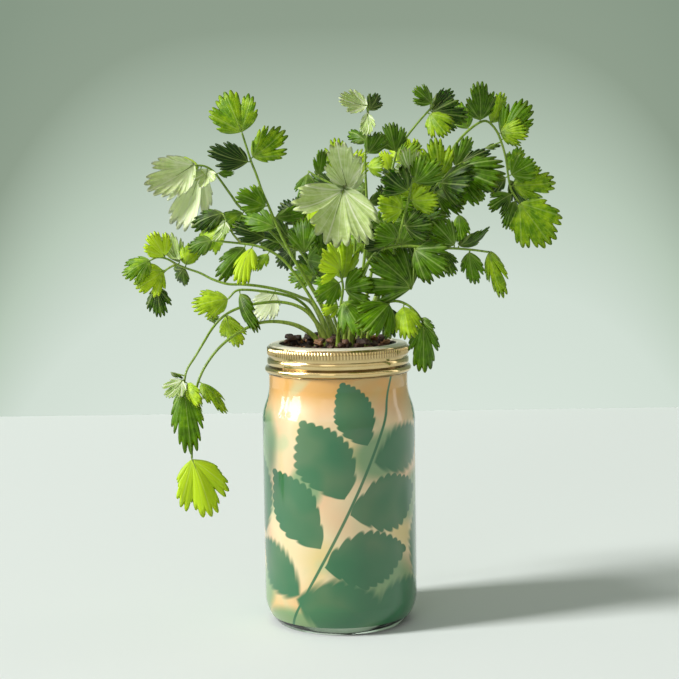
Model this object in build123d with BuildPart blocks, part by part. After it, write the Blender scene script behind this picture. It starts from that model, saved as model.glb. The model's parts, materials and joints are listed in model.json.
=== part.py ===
from build123d import *
import os
from math import atan, cos, pi, radians, sin, sqrt, tan
from typing import NamedTuple

os.makedirs("parts", exist_ok=True)

# Jar glass, all in millimetres, +Z up, origin at the middle of the ring the jar stands on
body_radius = 48.2
bearing_radius = 40.3
bearing_width = 4.2
heel_height = 16.0
shoulder_low = 128.0
shoulder_middle = 140.5
shoulder_middle_radius = 45.4
neck_low = 150.5
neck_radius = 43.3
neck_top = 159.2
glass_wall = 3.4
glass_floor = 6.4
punt_height = 2.4
finish_low = 160.4
finish_radius = 41.5
mouth_radius = 38.0
mouth_top = 172.6
lip_round = 0.9
thread_pitch = 5.08
thread_depth = 1.4
thread_root_width = 2.2
thread_crest_width = 1.1
glass_thread_low = 163.6
glass_thread_turns = 1.25
fuse_overrun = 0.4
heel_bulge_share = 0.62
shoulder_turn_share = 0.3
shoulder_rise_share = 0.55
neck_turn_share = 0.32
neck_rise_share = 0.48
punt_edge_shares = (0.8, 0.75)
punt_flat_share = 0.45

# Printed film shrunk round the glass
film_thickness = 0.25
film_clearance = 0.1
film_low = 5.2
film_top = 158.9

# Screw band of thin sheet metal
band_top = 176.5
band_low = 158.5
band_sheet = 0.5
band_lip_thickness = 0.6
band_hole_radius = 37.2
band_edge_round = 1.3
knurl_radius = 44.4
knurl_depth = 0.35
knurl_low = 170.2
knurl_top = 175.0
knurl_count = 140
groove_depth = 0.8
groove_height = 1.0
bead_low = 163.9
bead_bulge = 0.3
curl_radius = 46.2
curl_height = 4.6
curl_widest_share = 0.42
band_thread_turns = 1.0
band_thread_depth = 1.4
thread_flank_gap = 0.3
band_turns_to_clear = 33

# Moulded net pot that hangs in the mouth by its flange
flange_radius = 42.4
flange_thickness = 3.0
band_seat_gap = 0.3
pot_mouth_clearance = 1.0
pot_wall = 1.2
pot_depth = 58.0
pot_low_radius = 27.0
pot_floor = 1.6
slot_count = 16
slot_width = 3.2
slot_height = 30.0
slot_rise = 6.0

# Felt wick and coir plug
wick_width = 12.0
wick_thickness = 2.0
wick_floor_gap = 2.0
wick_clearance = 0.3
wick_bite = 14.0
plug_clearance = 0.25
plug_top_drop = 2.2
chip_length = 6.2
chip_width = 3.6
chip_thickness = 2.0
chip_gap = 0.25
chip_rest_gap = 0.9
chip_layer_rise = 2.45
chip_lift = 1.6
chip_field_radius = 33.0
chip_counts = (64, 52, 40)
chip_tilt_degrees = 8.0
chip_length_shares = (0.75, 0.15)
chip_width_shares = (0.8, 0.2)

# Plant
stalk_radius = 1.25
sprig_radius = 0.75
leaf_thickness = 0.5
leaf_gap = 0.2
neck_half_width = 0.45
plant_depth = 100.0
bend_share = 0.45
largest_bend = 160.0
neck_step_share = 0.3

# The picture that the plant's places are read from: its middle, its lean and the eye it was seen from
picture_middle_across = 337.7
picture_middle_down = 339.5
picture_lean_share = 0.014
picture_focal = 1646.0
eye_distance = 1030.0
eye_height = 281.4
eye_pitch_degrees = 5.7

# Places worked out from the sizes above
glass_radius = body_radius - film_clearance - film_thickness
flange_top = mouth_top + flange_thickness
band_inner_radius = knurl_radius - knurl_depth - band_sheet
plug_top = flange_top - plug_top_drop
pot_top_radius = mouth_radius - pot_mouth_clearance
pot_low = mouth_top - pot_depth
cut_overrun = glass_wall


def jar_side(grow):
    """The jar's outer side from the stand ring up to the top of the neck, moved outwards by grow."""
    foot = (bearing_radius + grow, 0)
    heel = (glass_radius + grow, heel_height)
    heel_mid = (
        foot[0] + (heel[0] - foot[0]) * heel_bulge_share,
        heel_height * (1 - heel_bulge_share),
    )
    shoulder = (glass_radius + grow, shoulder_low)
    bend = (shoulder_middle_radius + grow, shoulder_middle)
    upper_rise = shoulder_middle - shoulder_low
    upper_drop = glass_radius - shoulder_middle_radius
    upper_mid = (
        shoulder[0] - upper_drop * shoulder_turn_share,
        shoulder_low + upper_rise * shoulder_rise_share,
    )
    neck = (neck_radius + grow, neck_low)
    lower_rise = neck_low - shoulder_middle
    lower_drop = shoulder_middle_radius - neck_radius
    lower_mid = (
        neck[0] + lower_drop * neck_turn_share,
        shoulder_middle + lower_rise * neck_rise_share,
    )
    ThreePointArc(foot, heel_mid, heel)
    Line(heel, shoulder)
    ThreePointArc(shoulder, upper_mid, bend)
    ThreePointArc(bend, lower_mid, neck)
    Line(neck, (neck_radius + grow, neck_top))


def helix_rib(low, turns, root_radius, depth, outward):
    """A thread rib along a helix: root_radius is the wall it grows from, outward is 1 or -1."""
    with BuildPart(mode=Mode.PRIVATE) as rib:
        with BuildLine() as path:
            Helix(thread_pitch, thread_pitch * turns, root_radius, center=(0, 0, low))
        start = path.line @ 0
        heading = path.line % 0
        section = Plane(origin=start, x_dir=Vector(start.X, start.Y, 0), z_dir=heading)
        with BuildSketch(section):
            with BuildLine():
                Polyline(
                    (-outward * fuse_overrun, -thread_root_width / 2),
                    (outward * depth, -thread_crest_width / 2),
                    (outward * depth, thread_crest_width / 2),
                    (-outward * fuse_overrun, thread_root_width / 2),
                    close=True,
                )
            make_face()
        sweep(path=path.line, is_frenet=True)
    return rib.part


# Glass jar: thick heel, straight body, rounded shoulder and a threaded finish
with BuildPart() as glass_jar:
    with BuildSketch(Plane.XZ):
        with BuildLine():
            Line((0, 0), (bearing_radius, 0))
            jar_side(0)
            Polyline(
                (neck_radius, neck_top),
                (finish_radius, finish_low),
                (finish_radius, mouth_top),
                (0, mouth_top),
                (0, 0),
            )
        make_face()
    revolve(axis=Axis.Z)
    top_rim = glass_jar.edges().filter_by(GeomType.CIRCLE).group_by(Axis.Z)[-1]
    fillet(top_rim, lip_round)
    inner_radius = glass_radius - glass_wall
    inner_round = heel_height - glass_floor
    inner_neck_low = neck_low + glass_wall
    with BuildSketch(Plane.XZ):
        with BuildLine():
            Line((0, glass_floor), (inner_radius - inner_round, glass_floor))
            RadiusArc(
                (inner_radius - inner_round, glass_floor), (inner_radius, heel_height), -inner_round
            )
            Line((inner_radius, heel_height), (inner_radius, shoulder_low))
            Spline(
                (inner_radius, shoulder_low),
                (mouth_radius, inner_neck_low),
                tangents=((0, 1), (0, 1)),
            )
            Polyline(
                (mouth_radius, inner_neck_low),
                (mouth_radius, mouth_top + cut_overrun),
                (0, mouth_top + cut_overrun),
                (0, glass_floor),
            )
        make_face()
    revolve(axis=Axis.Z, mode=Mode.SUBTRACT)
    punt_radius = bearing_radius - bearing_width
    with BuildSketch(Plane.XZ):
        with BuildLine():
            Line((0, 0), (punt_radius, 0))
            ThreePointArc(
                (punt_radius, 0),
                (punt_radius * punt_edge_shares[0], punt_height * punt_edge_shares[1]),
                (punt_radius * punt_flat_share, punt_height),
            )
            Line((punt_radius * punt_flat_share, punt_height), (0, punt_height))
            Line((0, punt_height), (0, 0))
        make_face()
    revolve(axis=Axis.Z, mode=Mode.SUBTRACT)
    add(helix_rib(glass_thread_low, glass_thread_turns, finish_radius, thread_depth, 1))
glass_jar.part.label = "glass_jar"
export_step(glass_jar.part, "parts/glass_jar.step")

# Film sleeve: one skin that follows the glass from above the heel to under the band
with BuildPart() as film_sleeve:
    for grow, how in (
        (film_clearance + film_thickness, Mode.ADD),
        (film_clearance, Mode.SUBTRACT),
    ):
        with BuildSketch(Plane.XZ):
            with BuildLine():
                Line((0, 0), (bearing_radius + grow, 0))
                jar_side(grow)
                Polyline((neck_radius + grow, neck_top), (0, neck_top), (0, 0))
            make_face()
        revolve(axis=Axis.Z, mode=how)
    split(bisect_by=Plane.XY.offset(film_low), keep=Keep.TOP)
    split(bisect_by=Plane.XY.offset(film_top), keep=Keep.BOTTOM)
film_sleeve.part.label = "film_sleeve"
export_step(film_sleeve.part, "parts/film_sleeve.step")

# Screw band: flat lip, knurled edge, groove, thread bead and rolled bottom curl
bead_top = knurl_low - groove_height
bead_middle = (bead_low + bead_top) / 2
wall_outer_radius = knurl_radius - knurl_depth
curl_top = band_low + curl_height
with BuildPart() as screw_band:
    with BuildSketch(Plane.XZ):
        with BuildLine():
            Polyline(
                (band_hole_radius, band_top - band_lip_thickness),
                (band_hole_radius, band_top),
                (wall_outer_radius - band_edge_round, band_top),
            )
            RadiusArc(
                (wall_outer_radius - band_edge_round, band_top),
                (wall_outer_radius, band_top - band_edge_round),
                band_edge_round,
            )
            Polyline(
                (wall_outer_radius, band_top - band_edge_round),
                (wall_outer_radius, knurl_low),
                (wall_outer_radius - groove_depth / 2, knurl_low - groove_height / 2),
                (wall_outer_radius, bead_top),
            )
            ThreePointArc(
                (wall_outer_radius, bead_top),
                (wall_outer_radius + bead_bulge, bead_middle),
                (wall_outer_radius, bead_low),
            )
            Line((wall_outer_radius, bead_low), (wall_outer_radius, curl_top))
            ThreePointArc(
                (wall_outer_radius, curl_top),
                (curl_radius, band_low + curl_height * curl_widest_share),
                (curl_radius - band_sheet * 2, band_low),
            )
            Polyline(
                (curl_radius - band_sheet * 2, band_low),
                (curl_radius - band_sheet * 3, band_low),
                (band_inner_radius, curl_top - band_sheet),
                (band_inner_radius, band_top - band_lip_thickness),
                (band_hole_radius, band_top - band_lip_thickness),
            )
        make_face()
    revolve(axis=Axis.Z)
    with BuildSketch(Plane.XY.offset(knurl_low)):
        with BuildLine():
            Polyline(
                *[
                    (radius * cos(pi * n / knurl_count), radius * sin(pi * n / knurl_count))
                    for n in range(2 * knurl_count)
                    for radius in [knurl_radius if n % 2 else wall_outer_radius]
                ],
                close=True,
            )
        make_face()
        Circle((band_inner_radius + wall_outer_radius) / 2, mode=Mode.SUBTRACT)
    extrude(amount=knurl_top - knurl_low)
    flank_drop = (thread_root_width + thread_crest_width) / 2 + thread_flank_gap
    add(
        helix_rib(
            glass_thread_low - flank_drop,
            band_thread_turns,
            band_inner_radius,
            band_thread_depth,
            -1,
        )
    )
screw_band.part.label = "screw_band"
export_step(screw_band.part, "parts/screw_band.step")

# Net pot: flange on the glass rim, tapered basket with tall slots, wick slot in the floor
with BuildPart() as net_pot:
    with BuildSketch(Plane.XZ):
        with BuildLine():
            Polyline(
                (0, pot_low),
                (pot_low_radius, pot_low),
                (pot_top_radius, mouth_top),
                (flange_radius, mouth_top),
                (flange_radius, flange_top),
                (pot_top_radius - pot_wall, flange_top),
                (pot_top_radius - pot_wall, mouth_top),
                (pot_low_radius - pot_wall, pot_low + pot_floor),
                (0, pot_low + pot_floor),
                close=True,
            )
        make_face()
    revolve(axis=Axis.Z)
    slot_middle = pot_low + slot_rise + slot_height / 2
    with BuildSketch(Plane.XY.offset(slot_middle - slot_height / 2)):
        with PolarLocations(pot_top_radius, slot_count):
            Rectangle(pot_top_radius, slot_width)
    extrude(amount=slot_height, mode=Mode.SUBTRACT)
    with BuildSketch(Plane.XY.offset(pot_low)):
        Rectangle(wick_width + 2 * wick_clearance, wick_thickness + 2 * wick_clearance)
    extrude(amount=pot_floor, mode=Mode.SUBTRACT)
net_pot.part.label = "net_pot"
export_step(net_pot.part, "parts/net_pot.step")

# Wick: a flat felt strip from inside the plug down to near the glass floor
wick_low = glass_floor + wick_floor_gap
wick_top = pot_low + pot_floor + wick_bite
with BuildPart() as wick:
    with BuildSketch(Plane.XY.offset(wick_low)):
        Rectangle(wick_width, wick_thickness)
    extrude(amount=wick_top - wick_low)
wick.part.label = "wick"
export_step(wick.part, "parts/wick.step")

# Growing medium: one pressed coir plug that fills the basket, with a slot for the wick
with BuildPart() as grow_medium:
    plug_low = pot_low + pot_floor
    with BuildSketch(Plane.XZ):
        with BuildLine():
            Polyline(
                (0, plug_low),
                (pot_low_radius - pot_wall - plug_clearance, plug_low),
                (pot_top_radius - pot_wall - plug_clearance, mouth_top),
                (pot_top_radius - pot_wall - plug_clearance, plug_top),
                (0, plug_top),
                close=True,
            )
        make_face()
    revolve(axis=Axis.Z)
    with BuildSketch(Plane.XY.offset(plug_low)):
        Rectangle(wick_width + 2 * wick_clearance, wick_thickness + 2 * wick_clearance)
    extrude(amount=wick_bite + wick_clearance, mode=Mode.SUBTRACT)
grow_medium.part.label = "grow_medium"
export_step(grow_medium.part, "parts/grow_medium.step")


class Leaf(NamedTuple):
    """A leaflet: its place along the stem, its tip in the picture and in depth, its shape and turn."""

    place: float
    across: float
    down: float
    depth_share: float
    width_share: float
    turn: float = 0.0


class Stem(NamedTuple):
    """A stem: where it forks from the stalk, its points (across, down, depth share), its leaflets."""

    fork: float
    points: list
    leaves: list


ground = -1.0

stalks = {
    "01": [
        Stem(
            ground,
            [(316, 339, -0.10), (300, 327, -0.12), (281, 322, -0.14), (262, 322.5, -0.16),
             (247, 328, -0.18), (233, 336, -0.20), (219, 348, -0.22), (208, 362, -0.23),
             (200, 377, -0.24), (195.5, 393, -0.24), (193.5, 412, -0.245), (191.5, 436, -0.25),
             (192, 458, -0.25)],
            [Leaf(13, 210, 510, -0.30, 0.95, -12), Leaf(9.3, 225, 408, -0.33, 0.5, -40),
             Leaf(9.9, 199, 411, -0.16, 0.4, 50)],
        )
    ],
    "02": [
        Stem(
            ground,
            [(325, 338, -0.05), (316, 322, -0.06), (306, 311, -0.07), (293, 304.5, -0.08),
             (278, 302, -0.09), (262, 303, -0.10), (246, 306, -0.11), (232, 311, -0.12),
             (221, 318.5, -0.14), (212, 329, -0.16), (204, 342, -0.30), (195, 357, -0.33),
             (187, 370, -0.35), (184, 384, -0.36)],
            [Leaf(14, 190, 447, -0.42, 0.5, 0), Leaf(13.8, 168, 396, -0.44, 0.9, -160),
             Leaf(13.5, 171, 372, -0.34, 0.5, 50), Leaf(13.9, 198, 404, -0.46, 0.6, 40),
             Leaf(8.6, 237, 345, -0.02, 0.75, 20), Leaf(9.1, 207, 317, -0.12, 0.8, 20)],
        )
    ],
    "03": [
        Stem(
            ground,
            [(322, 338, 0.02), (311, 313, 0.01), (298, 300, -0.02), (283, 294.5, -0.07),
             (264, 291.5, -0.12), (246, 289.8, -0.16), (236, 291, -0.18), (229, 298, -0.19)],
            [Leaf(8, 196, 306, -0.25, 0.75, 15), Leaf(6.7, 253, 328, -0.28, 0.5, 35)],
        )
    ],
    "04": [
        Stem(
            ground,
            [(328, 338, 0.08), (314, 306, 0.10), (300, 297, 0.12), (281, 290.5, 0.14),
             (262, 286.5, 0.16), (244, 284.5, 0.18), (228, 284, 0.20), (213, 279.5, 0.22),
             (200, 273, 0.24), (187, 268.5, 0.25), (176, 264, 0.26)],
            [Leaf(4.3, 259, 316, 0.20, 0.8, -170), Leaf(10.8, 167, 238, 0.36, 0.6, -160),
             Leaf(10.2, 191, 245, 0.28, 0.8, -10), Leaf(10.3, 176, 281, 0.36, 0.9, 20)],
        ),
        Stem(
            11,
            [(166, 270, 0.25), (160, 278, 0.24), (157, 286, 0.23)],
            [Leaf(3, 160, 314, 0.20, 0.9, 10), Leaf(1.2, 139, 287, 0.18, 0.9, -15)],
        ),
        Stem(
            11,
            [(167, 259, 0.22), (158, 257.5, 0.20), (151, 260, 0.18)],
            [Leaf(3, 125, 273, 0.15, 0.85, 25), Leaf(1.3, 152, 236, 0.14, 0.9, 0)],
        ),
    ],
    "05": [
        Stem(
            ground,
            [(330, 338, 0.0), (322, 318, 0.0), (312, 300, 0.01), (302, 284, 0.01),
             (292, 270, 0.01), (281, 258, 0.01), (268, 250, 0.0), (255, 245.5, 0.0),
             (241, 243.5, 0.0), (226, 242, 0.01), (212, 240.5, 0.02)],
            [Leaf(11, 189, 247, 0.06, 0.7, 30), Leaf(8.7, 221, 276, -0.08, 0.55, 10),
             Leaf(8.2, 239, 278, -0.16, 0.5, 30), Leaf(6.9, 256, 268, -0.05, 0.6, 20)],
        ),
        Stem(
            9,
            [(233, 234, 0.04), (228, 224, 0.07), (223, 214, 0.09)],
            [Leaf(3, 193, 225, 0.14, 0.55, 25), Leaf(2.2, 217, 240, -0.05, 0.6, -140),
             Leaf(1.7, 197, 245, 0.20, 0.6, 30)],
        ),
    ],
    "06": [
        Stem(
            ground,
            [(333, 338, 0.12), (327, 318, 0.15), (318, 299, 0.17), (307, 281, 0.18),
             (296, 263, 0.195), (286, 245, 0.22), (277, 226, 0.235), (269, 207, 0.24),
             (262, 191, 0.255), (256.5, 175, 0.26), (251, 161, 0.255), (246.5, 147, 0.26),
             (242, 133, 0.25)],
            [Leaf(13, 227, 96, 0.28, 1.0, 0), Leaf(11.2, 282, 133, 0.30, 0.75, 15),
             Leaf(11.0, 212, 152, 0.20, 0.65, -20), Leaf(8.1, 240, 194, 0.16, 0.75, 10),
             Leaf(7.4, 307, 210, 0.32, 0.45, 30), Leaf(7.0, 245, 216, 0.34, 0.6, 20)],
        )
    ],
    "07": [
        Stem(
            ground,
            [(336, 338, 0.20), (329, 318, 0.24), (318, 298, 0.28), (305, 276, 0.32),
             (290, 254, 0.36), (273, 234, 0.40), (256, 219, 0.44), (240, 207, 0.46),
             (231, 195, 0.46), (221, 181, 0.46), (213, 171, 0.46), (204, 166, 0.45),
             (194, 165.5, 0.44)],
            [Leaf(13, 151, 190, 0.30, 0.7, -170), Leaf(12.6, 160, 166, 0.56, 0.5, 30),
             Leaf(12.3, 181, 223, 0.50, 0.75, -170), Leaf(11.5, 203, 187, 0.36, 0.9, -170),
             Leaf(10.6, 233, 174, 0.50, 0.5, 30), Leaf(7.7, 221, 226, 0.42, 0.75, 20)],
        )
    ],
    "08": [
        Stem(
            ground,
            [(340, 338, 0.24), (334, 318, 0.30), (327, 298, 0.36), (319, 280, 0.42),
             (309, 264, 0.48), (299, 250, 0.52), (289, 239, 0.56)],
            [Leaf(7, 258, 230, 0.62, 0.9, 10), Leaf(6.3, 277, 262, 0.66, 0.8, 10),
             Leaf(5.7, 302, 221, 0.56, 0.8, 0), Leaf(4.9, 322, 246, 0.52, 0.8, 10),
             Leaf(5.2, 322, 262, 0.30, 0.8, 0), Leaf(4.4, 290, 276, 0.50, 0.9, 10)],
        ),
        Stem(
            6,
            [(280, 243, 0.44), (266, 238, 0.36)],
            [Leaf(2, 236, 226, 0.34, 0.7, 10)],
        ),
    ],
    "09": [
        Stem(
            ground,
            [(345, 338, -0.06), (347, 316, -0.08), (351, 290, -0.10), (354, 263, -0.12),
             (355, 237, -0.14), (354, 214, -0.17), (349, 197, -0.20), (343, 186, -0.24)],
            [Leaf(7.8, 328, 240, -0.52, 1.05, -180), Leaf(7.6, 337, 146, -0.30, 0.65, -170),
             Leaf(7.2, 357, 158, -0.22, 0.5, 150)],
        ),
        Stem(
            7,
            [(337, 187, -0.14), (320, 178, -0.10), (308, 171, -0.08)],
            [Leaf(2.9, 303, 201, -0.16, 0.7, 20), Leaf(2.2, 322, 152, -0.10, 0.6, 20)],
        ),
    ],
    "10": [
        Stem(
            ground,
            [(352, 338, 0.0), (356, 315, -0.01), (360, 290, -0.01), (364, 262, -0.02),
             (366, 235, -0.02), (367, 210, -0.03), (366, 185, -0.03), (365, 160, -0.04),
             (367, 138, -0.04), (369, 122, -0.05), (367, 107, -0.06)],
            [Leaf(11, 341, 99, -0.10, 0.75, -160), Leaf(10.8, 378, 95, 0.0, 0.8, 10),
             Leaf(10.5, 368, 136, -0.20, 0.45, -160), Leaf(8.9, 350, 130, 0.06, 0.6, 30),
             Leaf(8.3, 381, 136, -0.14, 0.75, 10), Leaf(7.7, 381, 168, -0.14, 0.9, 10),
             Leaf(6.8, 352, 190, 0.06, 0.9, 0), Leaf(6.3, 384, 196, 0.02, 0.7, 20),
             Leaf(5.7, 346, 214, 0.08, 0.9, 10), Leaf(5.2, 391, 221, 0.02, 0.9, 10),
             Leaf(4.7, 343, 242, 0.10, 0.9, -10), Leaf(4.2, 387, 250, 0.06, 0.9, 0)],
        )
    ],
    "11": [
        Stem(
            ground,
            [(358, 338, 0.10), (363, 312, 0.14), (369, 285, 0.18), (375, 255, 0.21),
             (381, 225, 0.24), (386, 200, 0.26), (391, 175, 0.28), (397, 152, 0.30),
             (408, 135, 0.31), (421, 119, 0.32), (434, 105, 0.33)],
            [Leaf(10.95, 417, 90, 0.26, 0.8, 10), Leaf(10.8, 453, 93, 0.42, 0.6, 10),
             Leaf(10.5, 446, 133, 0.24, 0.85, 0), Leaf(8.0, 390, 126, 0.24, 0.9, 0),
             Leaf(7.6, 419, 148, 0.22, 0.7, 10), Leaf(7.2, 383, 152, 0.34, 0.6, 30),
             Leaf(10.65, 464, 117, 0.30, 0.8, 0), Leaf(6.7, 418, 180, 0.20, 0.9, 10),
             Leaf(5.9, 411, 208, 0.20, 0.9, 0), Leaf(5.1, 405, 236, 0.18, 0.9, 10),
             Leaf(4.4, 400, 262, 0.22, 0.8, 0)],
        )
    ],
    "12": [
        Stem(
            ground,
            [(364, 338, 0.18), (371, 312, 0.24), (380, 285, 0.30), (391, 258, 0.36),
             (404, 231, 0.42), (418, 205, 0.47), (432, 180, 0.51), (447, 157, 0.54),
             (460, 139, 0.56), (474, 126, 0.57), (486, 121, 0.57), (496, 130, 0.56),
             (502, 144, 0.55), (506, 159, 0.54), (508, 174, 0.53), (511, 189, 0.52),
             (519, 202, 0.51)],
            [Leaf(17, 548, 240, 0.48, 0.9, 0), Leaf(15.8, 552, 184, 0.56, 0.7, 10),
             Leaf(14.7, 520, 149, 0.62, 0.6, 0), Leaf(12.7, 523, 104, 0.50, 0.7, -20),
             Leaf(11.4, 503, 96, 0.62, 0.6, 20), Leaf(10.6, 479, 86, 0.50, 0.8, 20),
             Leaf(9.7, 455, 104, 0.62, 0.7, 10), Leaf(13.0, 485, 148, 0.58, 0.4, 30),
             Leaf(16.3, 492, 206, 0.44, 0.7, 10), Leaf(15.5, 523, 205, 0.62, 0.5, 10),
             Leaf(12.3, 524, 132, 0.44, 0.85, 0), Leaf(15.1, 533, 163, 0.44, 0.9, 0),
             Leaf(15.2, 484, 188, 0.52, 0.8, 0), Leaf(16.8, 506, 226, 0.50, 0.7, 10),
             Leaf(8.4, 471, 160, 0.44, 0.8, 0), Leaf(7.2, 460, 184, 0.42, 0.9, 0)],
        )
    ],
    "13": [
        Stem(
            ground,
            [(370, 338, 0.06), (378, 312, 0.08), (387, 285, 0.10), (397, 258, 0.11),
             (408, 233, 0.12), (420, 210, 0.12), (433, 190, 0.12), (447, 174, 0.11),
             (461, 163, 0.10)],
            [Leaf(9, 494, 166, 0.06, 0.8, 0), Leaf(8.7, 470, 140, 0.16, 0.6, 10),
             Leaf(8.3, 478, 198, 0.02, 0.8, 10), Leaf(7.6, 436, 142, 0.10, 0.8, 10),
             Leaf(7.0, 459, 207, 0.0, 0.8, 10), Leaf(6.6, 407, 171, 0.04, 0.9, 10),
             Leaf(6.0, 441, 232, 0.0, 0.8, 10), Leaf(8.75, 493, 184, -0.10, 0.8, 10),
             Leaf(7.5, 466, 186, -0.12, 0.9, 0), Leaf(5.4, 438, 214, -0.10, 0.9, 0),
             Leaf(4.7, 430, 256, 0.04, 0.8, 10)],
        ),
        Stem(
            7,
            [(440, 200, 0.22), (451, 207, 0.26), (458, 214, 0.28)],
            [Leaf(3, 462, 243, 0.26, 0.65, 10)],
        ),
    ],
    "14": [
        Stem(
            ground,
            [(350, 338, -0.16), (353, 315, -0.20), (357, 292, -0.24), (364, 270, -0.28),
             (374, 255, -0.31), (387, 248, -0.33), (403, 246, -0.34), (420, 246.8, -0.35),
             (438, 248, -0.35), (456, 248.6, -0.34), (473, 250, -0.33), (488, 252, -0.32)],
            [Leaf(12, 501, 294, -0.30, 0.5, 10), Leaf(10.8, 474, 282, -0.28, 0.75, 10),
             Leaf(10.2, 489, 232, -0.26, 0.5, 50), Leaf(9.2, 452, 273, -0.40, 0.8, 0),
             Leaf(8.8, 455, 232, -0.30, 0.8, 20), Leaf(8.0, 425, 274, -0.34, 0.7, 10),
             Leaf(7.2, 408, 291, -0.38, 0.6, 10), Leaf(6.6, 383, 282, -0.40, 0.8, 0),
             Leaf(6.9, 411, 221, -0.18, 0.9, 0), Leaf(7.7, 444, 270, -0.46, 0.9, 0),
             Leaf(9.9, 436, 224, -0.40, 0.8, 10), Leaf(5.9, 365, 236, -0.40, 0.8, 10)],
        )
    ],
    "15": [
        Stem(
            ground,
            [(356, 338, 0.26), (363, 322, 0.28), (373, 309, 0.30), (386, 297, 0.32),
             (400, 284, 0.34), (412, 273, 0.36), (421, 263, 0.38)],
            [Leaf(7, 424, 247, 0.44, 0.8, 0), Leaf(6.4, 437, 268, 0.46, 0.8, 10)],
        )
    ],
    "16": [
        Stem(
            ground,
            [(362, 339, -0.18), (365, 326, -0.22), (372, 312, -0.27), (383, 304, -0.32),
             (395, 301, -0.35), (406, 304, -0.37), (416, 312, -0.38), (423, 322, -0.38)],
            [Leaf(8, 424, 368, -0.34, 0.65, 0), Leaf(7.2, 404, 321, -0.44, 0.6, 20),
             Leaf(7.6, 431, 329, -0.46, 0.5, 30), Leaf(4.2, 390, 334, -0.44, 0.85, 0),
             Leaf(4.6, 369, 327, -0.60, 0.7, 0), Leaf(5.9, 409, 335, -0.50, 0.7, 0)],
        )
    ],
    "17": [
        Stem(
            ground,
            [(338, 339, -0.16), (339, 322, -0.19), (341, 304, -0.22), (343, 287, -0.25),
             (340, 272, -0.29)],
            [Leaf(5, 326, 262, -0.50, 0.9, 10), Leaf(4.5, 347, 241, -0.22, 0.8, 20),
             Leaf(4.4, 318, 296, -0.36, 0.9, 0), Leaf(3.9, 368, 284, -0.40, 0.9, 0),
             Leaf(3.2, 362, 330, -0.36, 0.8, 0), Leaf(2.9, 324, 312, -0.30, 0.7, 10)],
        )
    ],
    "18": [
        Stem(
            ground,
            [(347, 338, 0.14), (352, 314, 0.20), (360, 286, 0.26), (371, 257, 0.33),
             (384, 229, 0.40), (396, 205, 0.46), (406, 184, 0.51), (413, 165, 0.55)],
            [Leaf(8, 402, 138, 0.60, 0.9, 20), Leaf(7.6, 434, 150, 0.66, 0.9, -25),
             Leaf(7.1, 386, 166, 0.62, 0.8, 35), Leaf(6.6, 440, 186, 0.60, 0.9, 15),
             Leaf(6.0, 376, 190, 0.54, 0.9, -20), Leaf(5.5, 428, 226, 0.72, 0.8, 0),
             Leaf(4.9, 368, 218, 0.48, 0.9, 10), Leaf(4.3, 409, 255, 0.60, 0.7, -20)],
        )
    ],
    "19": [
        Stem(
            ground,
            [(368, 339, -0.08), (374, 313, -0.14), (382, 287, -0.20), (391, 261, -0.26),
             (399, 236, -0.32), (405, 213, -0.38), (410, 193, -0.43), (412, 177, -0.48)],
            [Leaf(8, 402, 152, -0.56, 0.9, -165), Leaf(7.7, 437, 166, -0.58, 0.9, 25),
             Leaf(7.2, 388, 178, -0.60, 0.8, -20), Leaf(6.7, 435, 199, -0.52, 0.9, 10),
             Leaf(6.2, 381, 204, -0.50, 0.95, 0), Leaf(5.5, 429, 225, -0.48, 0.9, 20),
             Leaf(4.9, 378, 236, -0.44, 0.9, -15)],
        )
    ],
    "20": [
        Stem(
            ground,
            [(342, 338, 0.32), (338, 312, 0.40), (331, 286, 0.48), (322, 262, 0.55),
             (312, 240, 0.61), (303, 221, 0.66)],
            [Leaf(6, 283, 203, 0.72, 0.9, 20), Leaf(5.6, 324, 203, 0.74, 0.9, -20),
             Leaf(5.0, 283, 232, 0.76, 0.9, 25), Leaf(4.4, 337, 232, 0.76, 0.9, 10),
             Leaf(3.6, 297, 262, 0.66, 0.9, -20), Leaf(4.2, 345, 262, 0.62, 0.9, 0)],
        )
    ],
    "21": [
        Stem(
            ground,
            [(350, 338, 0.22), (351, 310, 0.28), (351.5, 280, 0.33), (349, 250, 0.38),
             (345, 221, 0.42), (341, 195, 0.45), (339, 172, 0.47)],
            [Leaf(7, 336, 141, 0.48, 0.7, 10), Leaf(6.6, 360, 152, 0.54, 0.8, -25),
             Leaf(6.0, 317, 172, 0.54, 0.8, 25), Leaf(5.4, 366, 186, 0.58, 0.8, 40),
             Leaf(4.6, 319, 212, 0.56, 0.8, -40)],
        )
    ],
}

# Half outline of a leaflet, from its neck to its tip: shares of its length and of its half width
half_outline_shares = [
    (0.14, 0.14), (0.24, 0.44), (0.30, 0.80), (0.40, 0.82), (0.45, 1.00), (0.55, 0.84),
    (0.64, 0.88), (0.66, 0.44), (0.76, 0.62), (0.84, 0.40), (0.93, 0.34), (0.91, 0.12),
]
fold_shares = [(0.36, 0.10), (0.73, 0.09)]
eye = Vector(0, -eye_distance, eye_height)


def seen(across, down, depth_share):
    """The point of the picture at a depth behind the jar's axis, in the part's own frame."""
    sideways = across - picture_middle_across
    upright = down - picture_middle_down
    level_across = sideways - picture_lean_share * upright
    level_down = upright + picture_lean_share * sideways
    depth = plant_depth * depth_share
    below = radians(eye_pitch_degrees) + atan(level_down / picture_focal)
    height = eye_height - (eye_distance + depth) * tan(below)
    pitch = radians(eye_pitch_degrees)
    reach = (eye_distance + depth) * cos(pitch) + (eye_height - height) * sin(pitch)
    return Vector(level_across * reach / picture_focal, depth, height)


def point_on(points, place):
    """A place along straight runs: 2.5 is half way from the third point to the fourth."""
    last = len(points) - 1
    place = min(max(place, 0), last)
    index = min(int(place), last - 1)
    return points[index] + (points[index + 1] - points[index]) * (place - index)


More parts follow.
